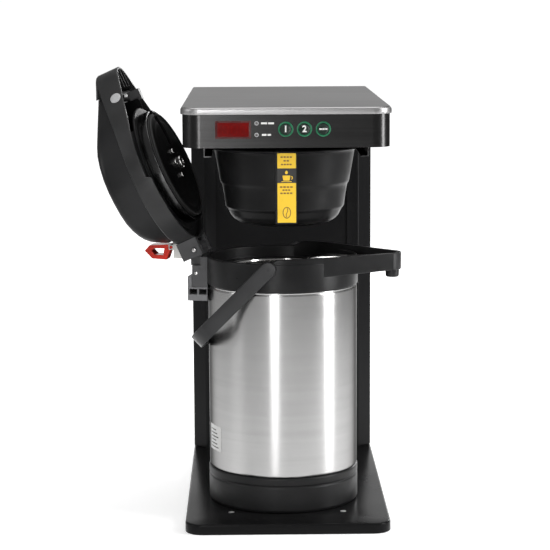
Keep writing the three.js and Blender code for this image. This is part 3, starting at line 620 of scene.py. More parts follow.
def slab(corner, below, r, top, step):
    """A slab with the brewer's outline, its front corners round with the radius corner. below is
    (inset, height) rows up to its side, which rolls over into the top with the radius r."""
    turns = [math.radians(a) for a in range(0, 91, step)]
    rows = below + [(r - r * math.cos(a), top - r + r * math.sin(a)) for a in turns]
    rings = []
    for inset, z in rows:
        line = front_rounded(HALF - inset, FRONT + inset, BACK - inset, corner - inset)
        rings.append([(x, y, z) for x, y in line])
    return loft(rings)


def build_base():
    below = [(3.6, BASE_H - 1.5), (1.5, BASE_H - 3.4), (1.5, 0), (0.2, 0), (0, 0.4)]
    shape = slab(20, below, 2.2, BASE_H, 15)
    tray = piece("base_tray_shell", shape, "brewer", TRAY_ENAMEL, ["base_tray"], angle=40)
    carve(tray, *[drill(3.7, 0, 20, 40, (x, SCREW_Y)) for x in SCREW_XS])
    for i, x in enumerate(SCREW_XS):
        shape, cross = recessed_screw(x, SCREW_Y, BASE_H)
        screw = piece(
            f"tray_screw_{i + 1}", shape, "brewer", SCREW_STEEL, [f"base_screw_{i + 1}"]
        )
        carve(screw, *cross)
    dress("base_bottom_plate", BLACK_ENAMEL, 0.3)


# ---------------------------------------------------------------- column
COLUMN_FRONT = 126
COLUMN_Z0, COLUMN_Z1 = 11.9, 426.7
SIDE_SCREWS = [(160, 40), (215, 40), (160, 400), (215, 400)]
INLET_AT, GLAND_AT = (55, 62), (-60, 62)


def build_column():
    t = 1.5
    outside = [(-114, BACK), (-114, 143), (-97, COLUMN_FRONT), (-83, COLUMN_FRONT)]
    inside = [(-83, COLUMN_FRONT + t), (-96.4, COLUMN_FRONT + t), (-112.5, 143.6), (-112.5, BACK - t)]
    left = soften(outside[::-1], 2.6, 6)
    left_in = soften(inside[::-1], 1.6, 6)
    outline = [*left, *[(-x, y) for x, y in left[::-1]], *[(-x, y) for x, y in left_in], *left_in[::-1]]
    sheet = prism(outline, COLUMN_Z0, COLUMN_Z1)
    shell = piece("column_sheet", sheet, "brewer", BLACK_ENAMEL, ["column_shell"], bevel=0.4)
    holes = [drill(8.5, -250, -200, 40, INLET_AT, "y"), drill(9, -250, -200, 40, GLAND_AT, "y")]
    for row in range(9):
        z = 300 + row * 9
        slot_line = rounded_rect(-34, 34, z - 1.6, z + 1.6, 1.5, 4)
        holes.append(prism_y(slot_line, BACK - 6, BACK + 6))
    carve(shell, *holes)
    dress("column_front_panel", PANEL_ENAMEL, 0.4)

    heads = []
    sunk = HALF - 1.0
    for y, z in SIDE_SCREWS:
        for s in (-1, 1):
            dome = lathe(soften([(0, 0), (3.6, 0), (3.4, 0.7), (0, 1.1)], 0.5, 3), 24)
            heads.append(moved(dome, lambda px, py, pz: (s * (sunk + pz * 0.85), y + px, z + s * py)))
    piece("column_screws", merge(*heads), "brewer", DULL_STEEL)

    dress("power_relay", SOFT_BLACK, 0.6)
    dress("inlet_valve", SOFT_BLACK, 0.8)
    dress("inlet_tube", WHITE, 0.2)
    dress("water_tank", DULL_STEEL, 0.5)
    dress("tank_lid", DULL_STEEL, 0.3)
    dress("heating_element", BRASS, 0.2)
    dress("temperature_probe", BRASS, 0.2)
    dress("brew_tube", WHITE, 0.2)

    threads = [(0, -222.3), (8, -222.3), (8, -236.2), (6, -236.4)]
    for i in range(5):
        threads += [(6, -237.2 - i * 1.4), (5.3, -237.9 - i * 1.4)]
    threads += [(5.6, -245), (3.4, -245), (3.4, -238), (0, -238)]
    fitting = lathe(threads, 48, INLET_AT, axis="y")
    piece("inlet_thread", fitting, "brewer", BRASS, ["inlet_fitting"], angle=25)
    gland = [
        (5, -223.2), (8.5, -223.2), (8.5, -235.4), (11.9, -235.4), (11.9, -237.5), (9.4, -239.9),
        (5, -239.9)
    ]
    shape = lathe(soften(gland, 0.7, 3, closed=True), 48, GLAND_AT, closed=True, axis="y")
    piece("cord_gland_ring", shape, "brewer", SOFT_BLACK, ["cord_gland"])


# ---------------------------------------------------------------- head
HEAD_FLOOR, FASCIA_TOP = 426.3, 461.7
COVER_BOTTOM, COVER_TOP = 462.1, 469.8
PANEL_Z = 446.3
WINDOW = (-76.3, -37.9, 436.4, 455.5)
LAMPS = ((-32, 452.7), (-32, 440.4))
BUTTON_XS = (-0.9, 19.2, 39.4)
FASCIA_FRONT = -233


def build_head():
    below = [
        (5, COVER_TOP - 1.2), (1.2, COVER_TOP - 3.6), (1.2, COVER_BOTTOM), (0.3, COVER_BOTTOM),
        (0, COVER_BOTTOM + 0.4)
    ]
    shape = slab(22, below, 3.2, COVER_TOP, 10)
    piece("cover_sheet", shape, "brewer", COVER_STEEL, ["top_cover"], angle=40)

    half, wrap = 112, -150
    outer = [(half, wrap), *arc(half - 20, FASCIA_FRONT + 20, 20, 0, -90, 18)]
    outer += [(-x, y) for x, y in outer[::-1]]
    inner = [(x * (half - 1.5) / half, y + 1.5 if y < wrap - 1 else y) for x, y in outer]
    shape = prism(outer + inner[::-1], HEAD_FLOOR, FASCIA_TOP)
    fascia = piece(
        "fascia_sheet", shape, "brewer", FASCIA_STEEL, ["fascia"], bevel=0.45, steps=3
    )
    x0, x1, z0, z1 = WINDOW
    window = rounded_rect(x0, x1, z0, z1, 0.8, 3)
    holes = [prism_y(window, -240, -225)]
    holes += [drill(1.75, 225, 240, 24, at, "y") for at in LAMPS]
    holes += [drill(7.5, 225, 240, 48, (x, PANEL_Z), "y") for x in BUTTON_XS]
    carve(fascia, *holes)

    dress("head_pan", BLACK_ENAMEL, 0.5)
    dress("basket_rail_left", RAIL_STEEL, 0.4)
    dress("basket_rail_right", RAIL_STEEL, 0.4)
    dress("control_board", BOARD_GREEN, 0.2)
    dress("display_module", SOFT_BLACK, 0.4)
    dress("spray_head", DULL_STEEL, 0.5)


def segments(x, z, width, height, lit):
    """One digit of seven bars, of which the lit ones are drawn, as (x, z) outlines."""
    h, w, t = height / 2, width, 1.5
    bars = {
        "a": ((0, 2 * h), (w, 2 * h)),
        "b": ((w, h), (w, 2 * h)),
        "c": ((w, 0), (w, h)),
        "d": ((0, 0), (w, 0)),
        "e": ((0, 0), (0, h)),
        "f": ((0, h), (0, 2 * h)),
        "g": ((0, h), (w, h)),
    }
    made = []
    for key in lit:
        a, b = (Vector(p) for p in bars[key])
        d = (b - a).normalized()
        n = Vector((-d.y, d.x)) * t / 2
        a, b = a + d * 0.45, b - d * 0.45
        tips = [a, a + d * t / 2 + n, b - d * t / 2 + n, b, b - d * t / 2 - n, a + d * t / 2 - n]
        lean = 0.09
        made.append([(x + p.x + p.y * lean, z + p.y) for p in tips])
    return made


def build_controls():
    x0, x1, z0, z1 = WINDOW
    lens = rounded_rect(x0 + 0.3, x1 - 0.3, z0 + 0.3, z1 - 0.3, 0.8, 3)
    piece(
        "display_lens", prism_y(lens, -232.8, -229.9), "brewer", LENS, ["display_window"],
        bevel=0.3
    )
    digits = [
        prism_y(o, -232.9, -232.6)
        for i in range(3)
        for o in segments(-68.6 + i * 9.6, 440.9, 5.6, 10.2, "abcdef")
    ]
    piece("display_digits", merge(*digits), "brewer", SEGMENT)
    frame_line = rounded_rect(x0, x1, z0, z1, 0.8, 3)
    inner_line = rounded_rect(x0 + 2.3, x1 - 2.3, z0 + 2, z1 - 2, 0.8, 3)
    rings = [[(x, -232.95, z) for x, z in frame_line], [(x, -232.85, z) for x, z in inner_line]]
    mask = loft(rings, caps=False)
    back = loft(
        [[(x, -232.7, z) for x, z in frame_line], [(x, -232.7, z) for x, z in inner_line]], caps=False
    )
    piece("display_mask", join_rims(mask, back, len(frame_line)), "brewer", RED_MASK)

    for i, (x, z) in enumerate(LAMPS):
        name = ("brewing_lamp", "ready_lamp")[i]
        dome = soften([(0, 223.3), (1.4, 223.3), (1.4, 232.7), (0.9, 233.2), (0, 233.35)], 0.3, 3)
        piece(name + "_lens", lathe(dome, 24, (x, z), axis="y"), "brewer", LAMP, [name])
        bezel = soften([(1.5, 232.95), (2.2, 232.95), (2.2, 233.3), (1.5, 233.45)], 0.15, 2, closed=True)
        piece(
            name + "_bezel", lathe(bezel, 32, (x, z), closed=True, axis="y"), "brewer", CAP_GREY,
        )
        bars = [(-27.2, -20.6), (-19.6, -13.4)] if i == 0 else [(-26.4, -21.4), (-20.4, -16.6)]
        marks = [prism_y(rounded_rect(a, b, z - 1.0, z + 1.0, 0.4, 2), -233.12, -232.9) for a, b in bars]
        piece(name + "_caption", merge(*marks), "brewer", WHITE_PRINT)

    names = ("brew_button_1", "brew_button_2", "stop_button")
    bodies = ("button_1", "button_2", "button_stop")
    for i, x in enumerate(BUTTON_XS):
        ring = soften(
            [
                (6.3, 228), (7.2, 228), (7.2, 233.3), (8.2, 233.3), (8.2, 233.8), (7.5, 234.1),
                (6.6, 234.1), (6.3, 233.7)
            ],
            0.25, 3, closed=True
        )
        shape = lathe(ring, 56, (x, PANEL_Z), closed=True, axis="y")
        piece(
            f"button_ring_{i + 1}_bezel", shape, "brewer", GREEN, [f"button_ring_{i + 1}"]
        )
        cap = soften([(0, 225), (6, 225), (6, 234.0), (5.4, 234.5), (4.6, 234.35), (0, 234.2)], 0.35, 3)
        piece(
            names[i] + "_cap", lathe(cap, 48, (x, PANEL_Z), axis="y"), bodies[i], GREEN_BLACK, [names[i]],
        )
    writing("digit_one", "1", 9.6, (BUTTON_XS[0], -234.3, PANEL_Z), "button_1", WHITE_PRINT)
    writing("digit_two", "2", 9.6, (BUTTON_XS[1], -234.3, PANEL_Z), "button_2", WHITE_PRINT)
    x = BUTTON_XS[2]
    bars = [(x - 4.3, x - 1.6), (x - 1.1, x + 1.4), (x + 1.9, x + 4.3)]
    marks = [
        prism_y(rounded_rect(a, b, PANEL_Z - 0.9, PANEL_Z + 0.9, 0.3, 2), -234.45, -234.1) for a, b in bars
    ]
    piece("stop_mark", merge(*marks), "button_stop", WHITE_PRINT)


def join_rims(front, back, count):
    """Closes a flat front frame and a flat back frame into one solid frame."""
    points, faces = merge(front, ([*back[0]], [f[::-1] for f in back[1]]))
    total = len(front[0])
    for start in (0, count):
        for k in range(count):
            n = (k + 1) % count
            face = [start + k, start + n, total + start + n, total + start + k]
            faces.append(face if start else face[::-1])
    return points, faces


# ---------------------------------------------------------------- basket
BREW_Y = -109
OUTSIDE = [
    (77, 420.2), (85.6, 420.0), (86, 417.4), (80.2, 416.6), (79.2, 414), (76.4, 398), (73.2, 379.6),
    (71.3, 376.6), (70.4, 373), (69, 364), (67.4, 351.4), (64.9, 348.8), (61.2, 341.2), (58, 337.6),
    (53, 334.2), (38, 330.8), (12, 329.6), (5, 329.6),
]
INSIDE = [
    (5, 332), (37, 333.1), (52.5, 337), (58.6, 342.6), (62.2, 350.6), (64.8, 352.4), (68.4, 378),
    (70.4, 379.8), (76.4, 416)
]


def build_basket():
    shape = lathe(soften(OUTSIDE + INSIDE, 1.3, 4, closed=True), 160, (0, BREW_Y), closed=True)
    piece("basket_bowl", shape, "basket", GLOSS_BLACK, ["brew_basket"], angle=50)

    front, strap_back, half = -207, -199.3, 11.6
    outline = [
        (front, 340.5), (front, 421), (-184.6, 421), (-184.6, 404.6), (strap_back, 404),
        (strap_back, 352.4), (-172.9, 351.6), (-168.6, 340.9),
    ]
    grip = soften(outline[::-1], 2.2, 5, closed=True)
    keep = piece(
        "basket_grip", prism_x(grip, -half, half), "basket", SATIN_BLACK, ["basket_handle"],
        bevel=1.1, steps=3
    )
    room = [
        (0, 425), (86.3, 425), (86.3, 417.2), (79.8, 416.2), (73.4, 377.7), (71.6, 376.2), (67.8, 351),
        (65.4, 348.9), (61.6, 340.8), (0, 325)
    ]
    carve(keep, lathe(room, 96, (0, BREW_Y)))

    def plate(name, x0, x1, z0, z1, y, material, r=0.6, slot="white_plastic"):
        line = rounded_rect(x0, x1, z0, z1, r, 3)
        piece(name, prism_y(line, y, y + 0.3), "basket", material)

    plate("label_top", -9.6, 10.6, 402.0, 418.4, -207.15, YELLOW_PRINT)
    plate("label_band", -9.6, 10.6, 386.0, 402.0, -207.12, BLACK_PRINT, 0.2, "black_plastic")
    plate("label_low", -9.6, 10.6, 342.6, 386.0, -207.15, YELLOW_PRINT)
    rows = [(414.2, 6.6), (410.2, 3.4), (406.2, 6.2), (381.6, 7.4), (378.2, 4.6), (374.8, 7.0)]
    bars = []
    for z, w in rows:
        cells = max(2, round(w / 1.7))
        step = 2 * w / cells
        for k in range(cells):
            a = 0.5 - w + k * step
            bars.append(
                prism_y(
                    [(a, z - 0.8), (a + step * 0.72, z - 0.8), (a + step * 0.72, z + 0.8), (a, z + 0.8)],
                    -207.3, -207.1
                )
            )
    piece("label_bars", merge(*bars), "basket", BROWN_PRINT)
    cup = soften([(-4.2, 394.2), (-3.2, 388.6), (3.6, 388.6), (4.6, 394.2)], 1.0, 3, closed=True)
    drop = [
        (0.3 + 1.5 * math.sin(a) * (1 - 0.25 * math.cos(a)), 397.6 + 1.9 * math.cos(a))
        for a in [k * math.pi / 8 for k in range(16)]
    ]
    grip_ring = arc(5.2, 391.6, 2.0, -80, 80, 8) + arc(5.2, 391.6, 1.1, 80, -80, 8)
    saucer = [(-5.2, 387.2), (5.8, 387.2), (5.8, 387.9), (-5.2, 387.9)]
    marks = [prism_y(o, -207.3, -207.08) for o in (cup, drop[::-1], grip_ring, saucer)]
    piece("label_cup", merge(*marks), "basket", YELLOW_PRINT)

    def oval(rx, rz):
        turns = [k * math.pi / 12 for k in range(24)]
        return [(0.5 + rx * math.cos(a), 353.5 + rz * math.sin(a)) for a in turns]

    bean, inner = oval(4.6, 6.4), oval(3.7, 5.5)
    depths = ((-207.3, bean), (-207.3, inner), (-207.1, inner), (-207.1, bean))
    frame_ring = loft([[(x, y, z) for x, z in line] for y, line in depths], closed=True)
    crease = [(0.5 + 0.9 * math.sin((z - 353.5) * 0.55) - 0.3, z) for z in [348.5 + k for k in range(11)]]
    crease = crease + [(x + 0.8, z) for x, z in crease[::-1]]
    piece(
        "label_bean", merge(frame_ring, prism_y(crease[::-1], -207.3, -207.1)), "basket", BROWN_PRINT,
    )


# ---------------------------------------------------------------- airpot
POT_R = 85.1
COLLAR_RIM, WALL_TOP = 294.5, 300
TROUGH = (85.2, 117, 19)
OUTLET_X = 126.5


def build_pot():
    foot = [
        (0, 12.0), (80, 12.0), (84, 12.2), (85.9, 15), (85.9, 40.5), (85.2, 41.4), (85.2, 43), (85.9, 44),
        (85.9, 51.2), (84.6, 52.5), (78, 52.5), (78, 17), (0, 17)
    ]
    piece(
        "pot_foot", lathe(soften(foot, 1.2, 4), 144), "airpot", FOOT_BLACK, ["airpot_base_ring"],
    )

    steel = [
        (0, 53.0), (83.4, 53.0), (84.6, 53.6), (POT_R - 0.1, 55.4), (POT_R - 0.1, 100),
        (POT_R - 0.1, 200), (POT_R - 0.1, 258.6), (84.6, 260.0), (84.2, 260.6), (84.7, 261.2),
        (84.7, 262.1), (83.4, 262.1), (83.4, 55), (0, 55),
    ]
    piece(
        "pot_jacket", lathe(soften(steel, 0.5, 3), 192), "airpot", POT_STEEL, ["airpot_body"],
        angle=50
    )

    flask = [
        (0, 57.1), (74.8, 57.1), (78.9, 61.2), (78.9, 241), (77.6, 248), (72, 257.9), (64, 264.4),
        (56, 269.9), (56, 281.9), (54.7, 281.9), (54.7, 269.4), (63, 263.4), (70.8, 257.2),
        (76.2, 247.6), (77.6, 240.7), (77.6, 61.8), (74.3, 58.4), (0, 58.4),
    ]
    piece(
        "flask_inside", lathe(soften(flask, 2.0, 4), 128), "airpot", SMALL_STEEL, ["airpot_liner"],
    )

    def patch(start, end, proud, sunk, low, high):
        """A curved patch on the jacket, from start to end in degrees."""
        turns = [math.radians(a) for a in range(start, end)]
        front = [((POT_R + proud) * math.cos(a), (POT_R + proud) * math.sin(a)) for a in turns]
        back = [((POT_R + sunk) * math.cos(a), (POT_R + sunk) * math.sin(a)) for a in turns[::-1]]
        return prism(front + back, low, high)

    label = patch(-156, -135, 0.12, -0.15, 74, 103)
    piece("pot_sticker", label, "airpot", GREY_PRINT)
    lines = [
        patch(-154, -139 - 2 * (k % 3), 0.2, 0.05, 77 + k * 4, 78.4 + k * 4) for k in range(6)
    ]
    piece("pot_sticker_lines", merge(*lines), "airpot", BLACK_PRINT)


def build_collar():
    ring = [
        (82.6, 262.6), (85.7, 262.6), (86, 263.4), (86, 293.4), (85.2, COLLAR_RIM), (82.8, COLLAR_RIM),
        (82, 293.6), (82, 281.2), (62.4, 281), (62.2, 278.2), (82.6, 278)
    ]
    skirt = lathe(soften(ring, 0.7, 4, closed=True), 160, closed=True)

    def low(x, y):
        return 276 + 5 * max(0, min(1, (x + 4) / 137))

    def side(x, y):
        fade = max(0.0, min(1.0, (x + 4) / 16))
        top = COLLAR_RIM - 0.6 + (WALL_TOP - COLLAR_RIM + 0.6) * fade
        return rounded_rect(-4.2, 0, low(x, y), top, 1.0, 5)

    outline = teardrop(*TROUGH)
    trough = wall(outline, side, lambda x, y: x > -4)
    inner = [p for p in teardrop(*TROUGH, inset=3) if p[0] > 30]
    beyond = [p for p in round_nose(inner) if math.hypot(*p) > 80.5]
    start, end = [math.degrees(math.atan2(y, x)) for x, y in (beyond[-1], beyond[0])]
    floor = prism(beyond + arc(0, 0, 80.6, start, end, 24), lambda x, y: low(x, y) + 0.3, 284.5)
    shape = merge(skirt, trough, floor)
    piece("collar_moulding", shape, "airpot", SATIN_BLACK, ["airpot_collar"], angle=45)

    def tip_section(x, y):
        return rounded_rect(-4.6, 0.5, low(x, y) - 0.4, WALL_TOP, 0.8, 4)

    tip = wall(outline, tip_section, lambda x, y: x > 128.5)
    piece("spout_tip", tip, "airpot", SOFT_BLACK)

    nozzle = [(4.5, 271.7), (6.8, 271.7), (7.6, 273), (7.9, 279.8), (4.5, 279.8)]
    shape = lathe(soften(nozzle, 0.6, 3, closed=True), 48, (OUTLET_X, 0), closed=True)
    piece("spout_outlet", shape, "airpot", SOFT_BLACK, ["spout_nozzle"])

    neck = [
        (56.4, 275.2), (61.6, 275.2), (61.6, 281.2), (64.4, 281.4), (64.4, 282.6), (63.6, 283), (57.6, 283),
        (56.4, 282.2)
    ]
    shape = lathe(soften(neck, 0.6, 4, closed=True), 128, closed=True)
    piece("neck_collar", shape, "airpot", SMALL_STEEL, ["neck_ring"])

    dip = tube([(30, 0, 66), (30, 0, 130), (30, 0, 200), (30, 0, 276)], 4, 24, 20, bore=2.8)
    piece("dip_pipe", dip, "airpot", PALE_GREY, ["dip_tube"])
    pipe = tube(
        [
            (30, 0, 276.3), (30, 0, 284), (36, 0, 290.3), (50, 0, 291.8), (85, 0, 291.8),
            (OUTLET_X - 4, 0, 291)
        ],
        4.4, 28, 64, bore=3.2
    )
    piece("pour_pipe", pipe, "airpot", SMALL_STEEL, ["spout_pipe"])
    for side_name, s in (("front", -1), ("back", 1)):
        stud = soften([(0, 84.2), (4.4, 84.2), (4.4, 89.6), (3.6, 90.0), (0, 90.0)], 0.4, 3)
        pin = moved(lathe(stud, 40), lambda x, y, z: (x, s * z, BAIL_PIVOT_Z + y))
        piece(
            f"bail_stud_{side_name}_pin", pin, "airpot", SOFT_BLACK, [f"bail_stud_{side_name}"],
        )


def build_hinge():
    dress("hinge_lug", HINGE_GREY, 1.0, 3)
    dress("clasp_frame", CLASP_GREY, 0.6, 2)
    pin = soften([(0, -26.4), (1.9, -26.4), (2.5, -25.8), (2.5, 25.8), (1.9, 26.4), (0, 26.4)], 0.4, 3)
    rod = moved(lathe(pin, 32), lambda x, y, z: (x + HINGE.x, z, y + HINGE.z))
    piece("hinge_rod", rod, "airpot", SMALL_STEEL, ["hinge_pin"])
    rivet = lathe(soften([(0, 0), (2.0, 0), (1.8, 0.7), (0, 1.0)], 0.4, 3), 24)
    heads = [moved(rivet, lambda x, y, z: (x - 96, s * (23.7 + z), 274 + y)) for s in (-1, 1)]
    piece("lug_rivets", merge(*heads), "airpot", SMALL_STEEL)


def build_bail():
    half, width, thick = 89.8, 17, 3.4
    side = [
        (0, half), (50, half), (92, half), (103, 88), (111, 83), (118, 74), (124, 58), (128.5, 36),
        (131.0, 12)
    ]
    line = side + [(x, -y) for x, y in side[::-1]]
    flat = smooth_line([(x, y, 0) for x, y in [(-8.5, half), *line, (-8.5, -half)]], 170)
    total = len(flat)
    rings = []
    for i, p in enumerate(flat):
        ahead = (flat[min(i + 1, total - 1)] - flat[max(i - 1, 0)]).normalized()
        out = Vector((ahead.y, -ahead.x, 0))
        if out.dot(Vector((p.x - 40, p.y, 0))) < 0:
            out = -out
        reach = width / 2
        near = p.x
        if near < 0:
            reach = max(0.6, math.sqrt(max(0.0, reach**2 - near**2)))
        t = thick / 2
        section = soften([(-t, -reach), (t, -reach), (t, reach), (-t, reach)], 1.2, 4, closed=True)
        rings.append([p + out * o + Vector((0, 0, z)) for o, z in section])
    piece("bail_band", loft(rings), "bail", DARK_GREY, ["bail_handle"], angle=60)
    button = lathe(soften([(0, 0), (6.4, 0), (6.2, 0.35), (0, 0.55)], 0.25, 3), 48)
    caps = [moved(button, lambda x, y, z: (x, s * (91.3 + z * 0.4), y)) for s in (-1, 1)]
    piece("bail_buttons", merge(*caps), "bail", SOFT_BLACK)


# ---------------------------------------------------------------- lid
LID_SHAPE = (88, 104.5, 24)
LID_RIM = 295
PIN_X, PIN_Z = 95, 309
CROWN = [
    (-90, 319), (-86, 325.5), (-77, 333.5), (-69, 342), (-60, 346.5), (-42, 350), (-24, 350.5),
    (8.5, 350.5), (23, 350), (44.5, 348), (70.6, 341.5), (106, 332), (130, 327.5),
]
WALL_LINE = [(-90, 317), (35, 317), (56, 319), (73, 321.5), (96, 325.5), (106, 327), (130, 327.5)]


def height_at(line, x):
    """Height of a line of (x, height) points at x, along a smooth curve."""
    x = max(line[0][0], min(line[-1][0], x))
    for i in range(len(line) - 1):
        (xa, za), (xb, zb) = line[i], line[i + 1]
        if x <= xb:
            before, after = line[max(i - 1, 0)], line[min(i + 2, len(line) - 1)]
            t = (x - xa) / (xb - xa)
            ma = (zb - before[1]) / (xb - before[0]) * (xb - xa)
            mb = (after[1] - za) / (after[0] - xa) * (xb - xa)
            ease = t * t * (3 - 2 * t)
            return za * (1 - ease) + zb * ease + ma * (t**3 - 2 * t**2 + t) + mb * (t**3 - t**2)
    return line[-1][1]


def crown(x):
    return height_at(CROWN, x)


def half_width(x, inset):
    """Half the width of the lid's outline at x."""
    r, nose_x, nose_r = LID_SHAPE
    big, small = r - inset, nose_r - inset
    touch = math.acos((big - small) / nose_x)
    xa, ya = big * math.cos(touch), big * math.sin(touch)
    xb, yb = nose_x + small * math.cos(touch), small * math.sin(touch)
    if x < xa:
        return math.sqrt(max(0, big**2 - x**2))
    if x < xb:
        return ya + (yb - ya) * (x - xa) / (xb - xa)
    return math.sqrt(max(0, small**2 - (x - nose_x) ** 2))


def on_pin(x, y, z):
    """Turns a shape about z into one about the lever's pin."""
    return PIN_X + x, z, PIN_Z + y


def build_lid():
    nose_from = 103

    def side(x, y):
        low = WALL_TOP + 0.4 if x > -4 else LID_RIM
        share = max(0.0, min(1.0, (x - nose_from + 4) / 6))
        top = height_at(WALL_LINE, x) * (1 - share) + (crown(x) - 0.8) * share
        return rounded_rect(-2.6, 0, low, top, 1.1, 5)

    outline = teardrop(*LID_SHAPE, steps=120, nose_steps=36)
    rim = wall(outline, side)
    web_line = [p for p in teardrop(*LID_SHAPE, inset=4, steps=96, nose_steps=30) if p[0] > 103.5]
    web = prism(round_nose(web_line), 303.5, 305.5)
    ribs = [block(104, 124, y - 0.9, y + 0.9, 300.8, 303.6) for y in (-11, 0, 11)]
    piece("lid_nose_web", merge(web, *ribs), "lid", RIB_GREY)
    roof_from, roof_to = 101.8, 128.3
    shares = [1 - k / 10 for k in range(21)]
    rings = []
    for k in range(15):
        x = roof_from + k * (roof_to - roof_from) / 14
        w = max(0.6, half_width(x, 0.3))
        z = crown(x) - 0.05
        above = [(x, w * c, z - 0.5 * abs(c) ** 6) for c in shares]
        rings.append(above + [(x, -w * c, z - 2.6) for c in shares])
    roof = loft(rings)
    piece("lid_side_wall", merge(rim, roof), "lid", LID_BLACK, ["lid_shell"], angle=50)

    dress("lid_hinge_block", HINGE_GREY, 1.2, 3)
    dress("catch_hook", DARK_GREY, 0.8, 2)
    dress("lock_bracket", WHITE, 0.8, 2)
    dress("lever_lock", RED, 0.9, 3)

    pin = lathe(soften([(0, -33), (2.4, -33), (2.4, 33), (0, 33)], 0.2, 2), 24)
    rod = moved(pin, on_pin)
    cap = lathe(soften([(0, -2.4), (6.4, -2.4), (6.4, 0.35), (5.2, 1.0), (0, 1.15)], 0.5, 4), 48)
    lean = math.atan2(half_width(84, 0) - half_width(106, 0), 22)
    caps = []
    for s in (-1, 1):
        y0 = half_width(PIN_X, 0)
        normal = Vector((math.sin(lean), s * math.cos(lean), 0))
        across = Vector((math.cos(lean), -s * math.sin(lean), 0))
        centre = Vector((PIN_X, s * y0, PIN_Z))
        caps.append(moved(cap, lambda x, y, z: centre + normal * z + across * x + Vector((0, 0, y))))
    piece("lever_pin_caps", merge(rod, *caps), "lid", CAP_GREY, ["lever_pin"])


def build_lid_plate():
    plate_end = 83.8
    outline = [p for p in teardrop(*LID_SHAPE, inset=3, steps=96) if p[0] < plate_end]
    plate = prism(outline, 300.7, 302.7)
    step_ring = lathe(
        soften([(0, 298.4), (75.2, 298.4), (76, 299.2), (76, 300.9), (0, 300.9)], 0.5, 3), 128
    )
    piece(
        "lid_underplate", merge(plate, step_ring), "lid", PLATE_BLACK, ["lid_plate"],
        bevel=0.4
    )
    band = lathe(
        soften([(65.2, 287.2), (68.2, 287.2), (68.2, 298.3), (65.2, 298.3)], 0.7, 4, closed=True), 144,
        closed=True
    )
    sleeve = piece("lid_sleeve", band, "lid", SHADED_SLEEVE_STEEL)

    cone = [
        (0, 281.2), (8, 281), (13, 280.7), (16, 280.8), (34, 281.4), (45.4, 282.4), (48.6, 282.7),
        (51.8, 283.3), (53.8, 284.2), (59.6, 284.5), (59.8, 286.2), (58.8, 287), (59.8, 287.8),
        (59.8, 290.4), (63.6, 292.2), (63.8, 297.9), (0, 297.9),
    ]
    plug = piece(
        "stopper_cone", lathe(soften(cone, 1.0, 4), 144), "lid", STOPPER_BLACK, ["stopper"],
    )
    seal = soften(
        [
            (60.2, 283.8), (62.6, 283.7), (63.8, 285), (63.2, 286.6), (63.8, 288.2), (63.2, 289.8),
            (63.6, 291.6), (60.2, 291.6)
        ],
        0.6, 4, closed=True
    )
    ring = piece("stopper_gasket", lathe(seal, 128, closed=True), "lid", RUBBER, ["stopper_seal"])
    slot = block(23.2, 92, -6.8, 6.8, 258, 298.05)
    for cut_piece in (plug, ring, sleeve):
        carve(cut_piece, moved(slot, lambda *p: LID @ Vector(p)))

    hub = [(3.0, 276.5), (6.0, 276.5), (7.2, 277.6), (7.2, 282), (3.0, 282)]
    shape = lathe(soften(hub, 0.6, 3, closed=True), 40, closed=True)
    stud = soften([(0, 283), (2.4, 283), (2.8, 279), (2.2, 278.2), (0, 278)], 0.4, 3)
    studs = [lathe(stud, 24, place) for place in ((-14, -16), (2, -20), (15, -14))]
    piece("stopper_fittings", merge(shape, *studs), "lid", SMALL_STEEL)

    foot_z = 303.2
    folds = [(0, foot_z), (38, foot_z)]
    for i in range(6):
        folds += [(47.6, 306.6 + i * 7), (40, 310.1 + i * 7)]
    folds += [(36, 345.1), (0, 345.1)]
    bellows = piece(
        "bellows_folds", lathe(soften(folds, 1.6, 4), 96), "lid", RUBBER, ["bellows"]
    )
    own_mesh(bellows)


def build_lever():
    inset, skin = 3.4, 2.8
    stations = [
        -79.4, -79, -78, -76, -73, -69, -64, -58, -50, -40, -28, -14, 0, 15, 30, 42, 52, 60, 68, 76, 84, 90,
        95, 99, 101.3
    ]
    shift = LID_SHAPE[0] - inset

    def half_at(x):
        w = half_width(x, inset)
        if x < 5:
            w = min(w, math.sqrt(max(0.0, shift**2 - (x - 5) ** 2)))
        return max(0.8, w)

    def skirt(x):
        if x < 52:
            return min(315.3 - 2.3 * (x + 84) / 84, 313.2) if x > 0 else 315.6 - 2.4 * (x + 84) / 84
        return max(304.2, 312.2 - (x - 52) * 8 / 32)

    rings = []
    for x in stations:
        w, z, low = half_at(x), crown(x) - 0.2, skirt(x)
        r = min(9.0, w * 0.8, (z - low) * 0.8)
        top = soften([(w, low), (w, z), (-w, z), (-w, low)], r, 8)
        wi, zi = max(0.4, w - skin), z - skin
        under = soften([(-wi, low), (-wi, zi), (wi, zi), (wi, low)], max(0.3, r - 1.5), 8)
        rings.append([(x, y, h) for y, h in top + under])
    shape = loft(rings)
    piece("lever_shell", shape, "lever", LEVER_BLACK, ["pump_lever"], angle=50)
    barrel = lathe(
        soften([(3.0, -19.8), (5.9, -19.8), (5.9, 19.8), (3.0, 19.8)], 0.6, 3, closed=True), 40, closed=True
    )
    web = block(88, 94, -19, 19, 312, 334)
    piece(
        "lever_barrel", merge(moved(barrel, on_pin), web), "lever", SOFT_BLACK,
        bevel=0.5
    )


# ---------------------------------------------------------------- studio
def area_light(name, at, target, width, height, power):
    light = bpy.data.lights.new(name, "AREA")
    light.shape = "RECTANGLE"
    light.size, light.size_y = width, height
    light.energy = power
    obj = placed(name, light)
    obj.location = at
    obj.rotation_euler = (Vector(target) - Vector(at)).to_track_quat("-Z", "Y").to_euler()
    return obj


AIRPOT_Y = -0.109


